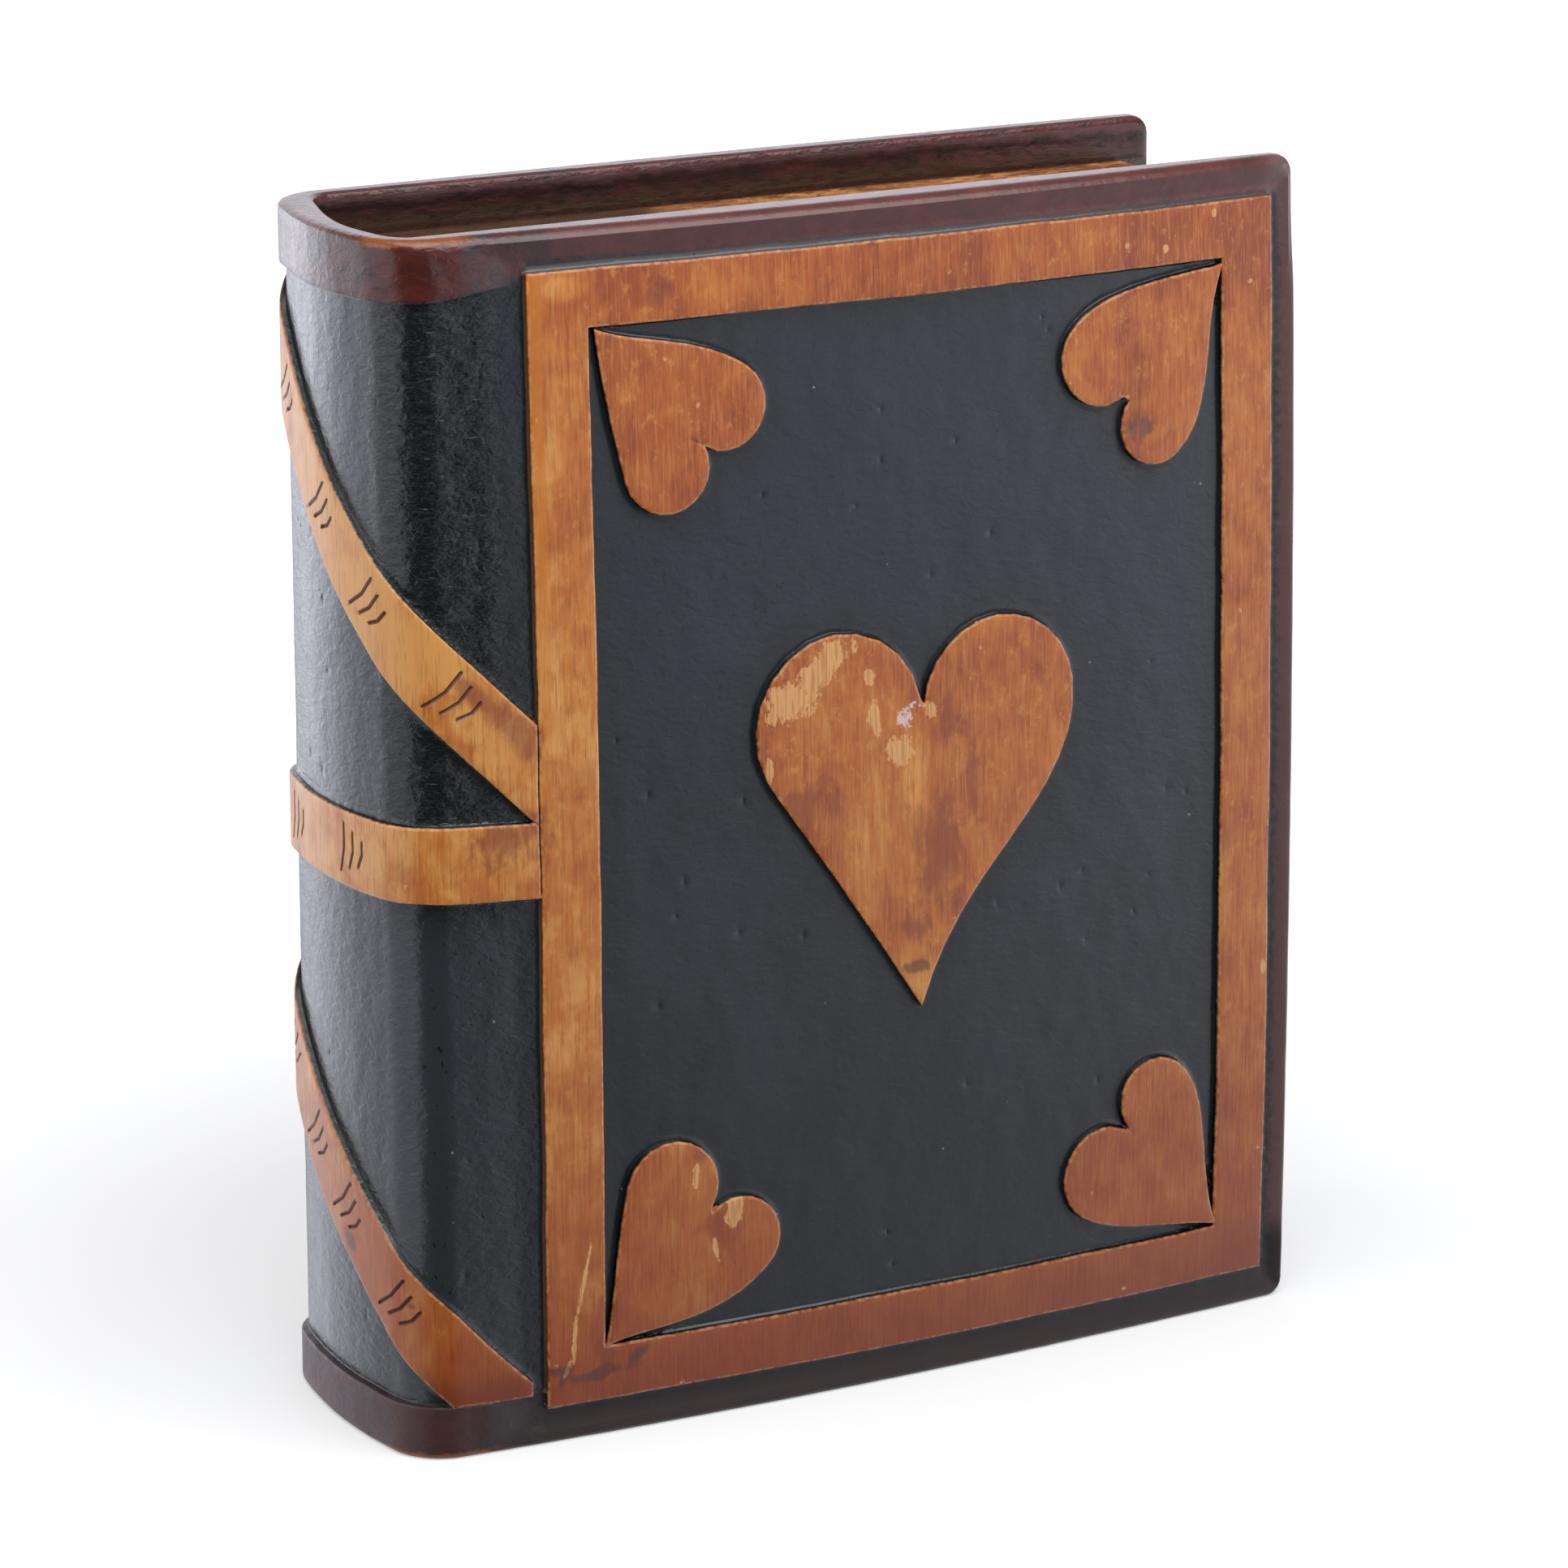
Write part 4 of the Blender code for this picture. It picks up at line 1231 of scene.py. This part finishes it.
def carved_paint():
    """Varnished wood on the raised carving, black ground and oxblood rims."""
    material, graph = make_material("carved_wood_paint")
    flat = graph.flat()
    wood, rim, arris, stroke = (graph.attribute(name) for name in ("wood", "rim", "arris", "stroke"))
    along, up, _ = graph.parts(flat)
    speck = graph.noise((0.9, 0.9, 0.9), 3.0, 0.6)
    ragged = speck * 1.1 - 0.55

    fine, honey = varnished_wood(graph, flat, wood, stroke, rim, speck)
    black = black_ground(graph, flat, wood, ragged)
    oxblood = oxblood_rim(graph, flat, arris)
    rim_share = graph.step(ragged * 0.9 + rim, -0.60, 0.60)
    wood_share = graph.step(ragged * 0.10 + wood, -0.06, 0.02)
    colour = graph.mix(wood_share, graph.mix(rim_share, black, oxblood), honey)

    smear = graph.noise((2.5, 2.5, 4.0), 3.0, 0.6)
    ground_rough = 0.18 + 0.16 * smear + 0.30 * (rim_share * graph.step(up, 12.0, 7.0))
    roughness = graph.blend(wood_share, ground_rough, 0.30 + 0.22 * smear)
    wrinkle = graph.between(along, WRINKLED[0] + 1.5, WRINKLED[1] - 2.0, 3.0)
    wrinkle = wrinkle * (1.0 - rim_share) * graph.step(up, *WRINKLE_FADE)
    on_spine = graph.step(along, FRONT_NEAR, FRONT_NEAR - 1.0)
    pebble = graph.noise((1.60, 1.60, 0.90), 2.5, 0.55, 0.6)
    pebble = pebble * (0.70 + 0.80 * on_spine + 1.6 * wrinkle)
    relief = graph.blend(wood_share, pebble, fine * 0.35)
    return finish_material(material, graph, Base_Color=colour, Roughness=roughness,
                           Normal=graph.bump(relief, 0.12, 0.6))


def inside_paint():
    """Dark, rough oxblood on the inner faces: a lilac painted highlight by the edge, olive and bare wood at
    their foot.
    """
    material, graph = make_material("inner_face_paint")
    along, up, _ = graph.parts(graph.flat())
    patch = graph.noise((4.0, 4.0, 1.4), 5.0, 0.70, 0.6)
    grit = graph.noise((2.2, 2.2, 0.6), 3.0, 0.6)
    torn = graph.noise((9.0, 9.0, 9.0), 5.0, 0.72)
    oxblood = graph.ramp(patch, (0.36, (0.009, 0.0030, 0.0028)), (0.50, (0.024, 0.0048, 0.0042)),
                         (0.66, (0.050, 0.0090, 0.0085)))
    far = graph.step(along, -92.0, -128.0) * graph.step(patch, 0.35, 0.55)
    torn_up = torn * 4.0 + up
    olive = graph.step(up, BLOCK_HEAD + 2.8, BLOCK_HEAD + 1.0) * graph.step(grit, 0.40, 0.54)
    bare = graph.ramp(grit, (0.35, (0.018, 0.010, 0.005)), (0.65, (0.090, 0.050, 0.022)))
    colour = graph.coats(
        oxblood,
        # painted highlight: lilac along the top edge
        (graph.step(torn * 3.0 + up, HEIGHT - 0.6, HEIGHT + 1.0), 0.65, (0.080, 0.0380, 0.0400)),
        (far, 0.50, (0.095, 0.0420, 0.0400)),
        (graph.between(torn_up, HEIGHT - 0.4, HEIGHT + 0.1, 0.5), 0.45, (0.008, 0.0025, 0.0025)),
        (olive, 0.60, (0.040, 0.0270, 0.0110)),
        (graph.step(grit * 2.2 + up, BLOCK_HEAD + 2.3, BLOCK_HEAD + 1.5), 0.80, bare),
        (graph.step(torn_up, BLOCK_HEAD + 2.6, BLOCK_HEAD + 2.2), 0.92, (0.030, 0.0080, 0.0040)))
    relief = 0.5 * graph.step(torn_up, HEIGHT - 0.6, HEIGHT + 0.2) + grit
    return finish_material(material, graph, Base_Color=colour, Roughness=0.38,
                           Normal=graph.bump(relief, 0.22, 0.5), Specular_IOR_Level=0.38)


def plain_wood(graph, dark, light):
    """Colour of bare wood under old varnish, and its uneven surface."""
    fine, hair = wood_grain(graph)
    mottle = graph.noise((6.0, 1.6, 5.0), 5.0, 0.7, 0.4)
    colour = graph.ramp(mottle, (0.36, dark), (0.54, light))
    colour = graph.coats(colour, (graph.step(hair, 0.50, 0.75), 0.35, dark))
    return colour, graph.bump(fine + mottle, 0.25, 0.6)


def block_wood():
    material, graph = make_material("block_wood")
    colour, surface = plain_wood(graph, (0.014, 0.008, 0.005), (0.060, 0.032, 0.016))
    return finish_material(material, graph, Base_Color=colour, Roughness=0.45, Normal=surface)


def lid_wood():
    """Golden wood, dark towards the spine, and blotched with red varnish along the back cover."""
    material, graph = make_material("lid_wood_aged")
    colour, surface = plain_wood(graph, (0.22, 0.075, 0.018), (0.48, 0.21, 0.065))
    along, across, _ = graph.parts(graph.place((1.0, 1.0, 1.0)))
    cloud = graph.noise((11.0, 6.0, 9.0), 5.0, 0.6, 0.4)
    blotch = graph.noise((2.4, 1.5, 5.0), 5.0, 0.72, 0.8)
    back_edge = CENTRE_Y + INNER_HALF
    near_back = graph.step(across, back_edge - 9.0, back_edge - 4.0)
    red = graph.step(0.07 * graph.step(along, 20.0, 50.0) + blotch, 0.48, 0.60)
    by_board = graph.step(blotch * 6.0 + across, back_edge + 1.2, back_edge + 2.0)
    dark_end = CENTRE_X + LID_DARK_END
    # darker towards the spine, with a ragged edge
    dark_by_spine = graph.step(cloud * 26.0 + along, dark_end + 17.0, dark_end + 7.0)
    colour = graph.coats(
        colour,
        (graph.step(cloud, 0.44, 0.62), 0.55, (0.150, 0.0520, 0.0160)),
        (red * near_back, 0.85, (0.140, 0.0340, 0.0090)),
        (by_board, 0.90, (0.110, 0.0250, 0.0080)),
        (dark_by_spine, 0.90, (0.032, 0.011, 0.005)))
    return finish_material(material, graph, Base_Color=colour, Roughness=0.45, Normal=surface)


# Floor, light and camera

FLOOR_GLOW = (0.42, 0.95)     # the floor's own light, by the object and far off, which keeps it white
FLOOR_REACH = (90.0, 360.0)   # distances from the middle at which it has them


def make_floor():
    bpy.ops.mesh.primitive_plane_add(size=12.0, location=(0.0, 0.0, 0.0))
    floor = bpy.context.object
    floor.name = "floor"
    material, graph = make_material("pale_floor")
    glow = graph.spread(graph.length(graph.place((1.0, 1.0, 1.0))), *FLOOR_REACH, *FLOOR_GLOW)
    finish_material(material, graph, Base_Color=(0.46, 0.46, 0.46), Roughness=0.9,
                    Emission_Color=(1.0, 1.0, 1.0), Emission_Strength=glow)
    floor.data.materials.append(material)
    floor.visible_glossy = False
    floor.visible_diffuse = False


def make_light(name, place, size, power):
    """A soft box that faces the middle of the object."""
    data = bpy.data.lights.new(name, "AREA")
    data.shape = "RECTANGLE"
    data.size, data.size_y = size
    data.energy = power
    light = bpy.data.objects.new(name, data)
    light.location = place
    light.visible_camera = False
    aim = Vector((0.0, 0.0, HEIGHT * MM / 2)) - Vector(place)
    light.rotation_euler = aim.to_track_quat("-Z", "Y").to_euler()
    bpy.context.scene.collection.objects.link(light)


# Brightness of the studio all round, by bearing: 0 is before the front cover, -90 before the spine
STUDIO_RING = ((-180, 2.8), (-168, 3.1), (-142, 1.7), (-100, 1.42), (-64, 1.60), (-57, 0.04),
               (0, 0.05), (9, 0.36), (17, 1.16), (26, 1.14), (42, 1.7), (60, 2.6), (100, 1.8), (180, 1.0))
STUDIO_TINT = (0.95, 0.98, 1.08)


def make_surroundings():
    """A pale studio: a bright side at the spine, a dim stretch before it, and a soft front."""
    world = bpy.data.worlds.new("studio")
    bpy.context.scene.world = world
    world.use_nodes = True
    graph = Graph(world.node_tree)
    across, deep, high = graph.parts(graph.node("TexCoord").outputs["Generated"])
    bearing = graph.math("ARCTAN2", across, deep * -1.0)
    stops = [(azimuth / 360 + 0.5, (brightness,) * 3) for azimuth, brightness in STUDIO_RING]
    ring = Value(graph, graph.ramp(graph.spread(bearing, -math.pi, math.pi, 0.0, 1.0), *stops))
    level = ring * graph.spread(high, -0.30, -0.17, 0.55, 1.10) + graph.spread(high, -0.30, -0.18, 0.13, 0.0)
    behind = graph.spread(deep, 0.60, 0.85, 0.0, 1.0) * graph.spread(high, 0.50, 0.36, 0.0, 1.0)
    sky = graph.spread(behind, 0.0, 1.0, 0.30, 1.50)
    brightness = graph.blend(graph.spread(high, -0.05, 0.15, 0.0, 1.0), level, sky)
    tinted = graph.node("VectorMath", {0: STUDIO_TINT, "Scale": brightness}, operation="SCALE")
    graph.set(graph.tree.nodes["Background"].inputs["Color"], tinted.outputs[0])


def make_camera():
    """Long lens at the front left, a little above, as the photograph was taken."""
    image_side = 1932
    focal_pixels = 7409.9
    centre_row = 800
    turn, tilt, roll = math.radians(27.53), math.radians(14.17), math.radians(-0.53)
    forward = Vector((math.sin(turn) * math.cos(tilt), math.cos(turn) * math.cos(tilt), -math.sin(tilt)))
    level_right = Vector((math.cos(turn), -math.sin(turn), 0.0))
    level_up = level_right.cross(forward)
    right = math.cos(roll) * level_right + math.sin(roll) * level_up
    up = math.cos(roll) * level_up - math.sin(roll) * level_right
    data = bpy.data.cameras.new("camera")
    data.sensor_width = 36.0
    data.lens = focal_pixels / image_side * data.sensor_width
    data.shift_y = (centre_row - image_side / 2) / image_side
    data.clip_start = 0.05
    data.clip_end = 20.0
    camera = bpy.data.objects.new("camera", data)
    camera.matrix_world = Matrix((
        (right.x, up.x, -forward.x, -0.33563),
        (right.y, up.y, -forward.y, -0.64351),
        (right.z, up.z, -forward.z, 0.27370),
        (0.0, 0.0, 0.0, 1.0)))
    bpy.context.scene.collection.objects.link(camera)
    bpy.context.scene.camera = camera


def main():
    bpy.context.scene.view_settings.view_transform = "Standard"
    make_camera()
    make_surroundings()
    make_light("top_box", (-0.15, -0.25, 1.5), (1.2, 1.2), 12.0)
    make_light("near_box", (0.02, -0.27, 0.42), (0.50, 0.30), 1.9)
    make_light("left_box", (-1.1, 0.1, 0.6), (0.8, 0.8), 4.0)
    make_floor()
    make_case([carved_paint(), inside_paint(), block_wood()])
    make_lid(lid_wood())


main()
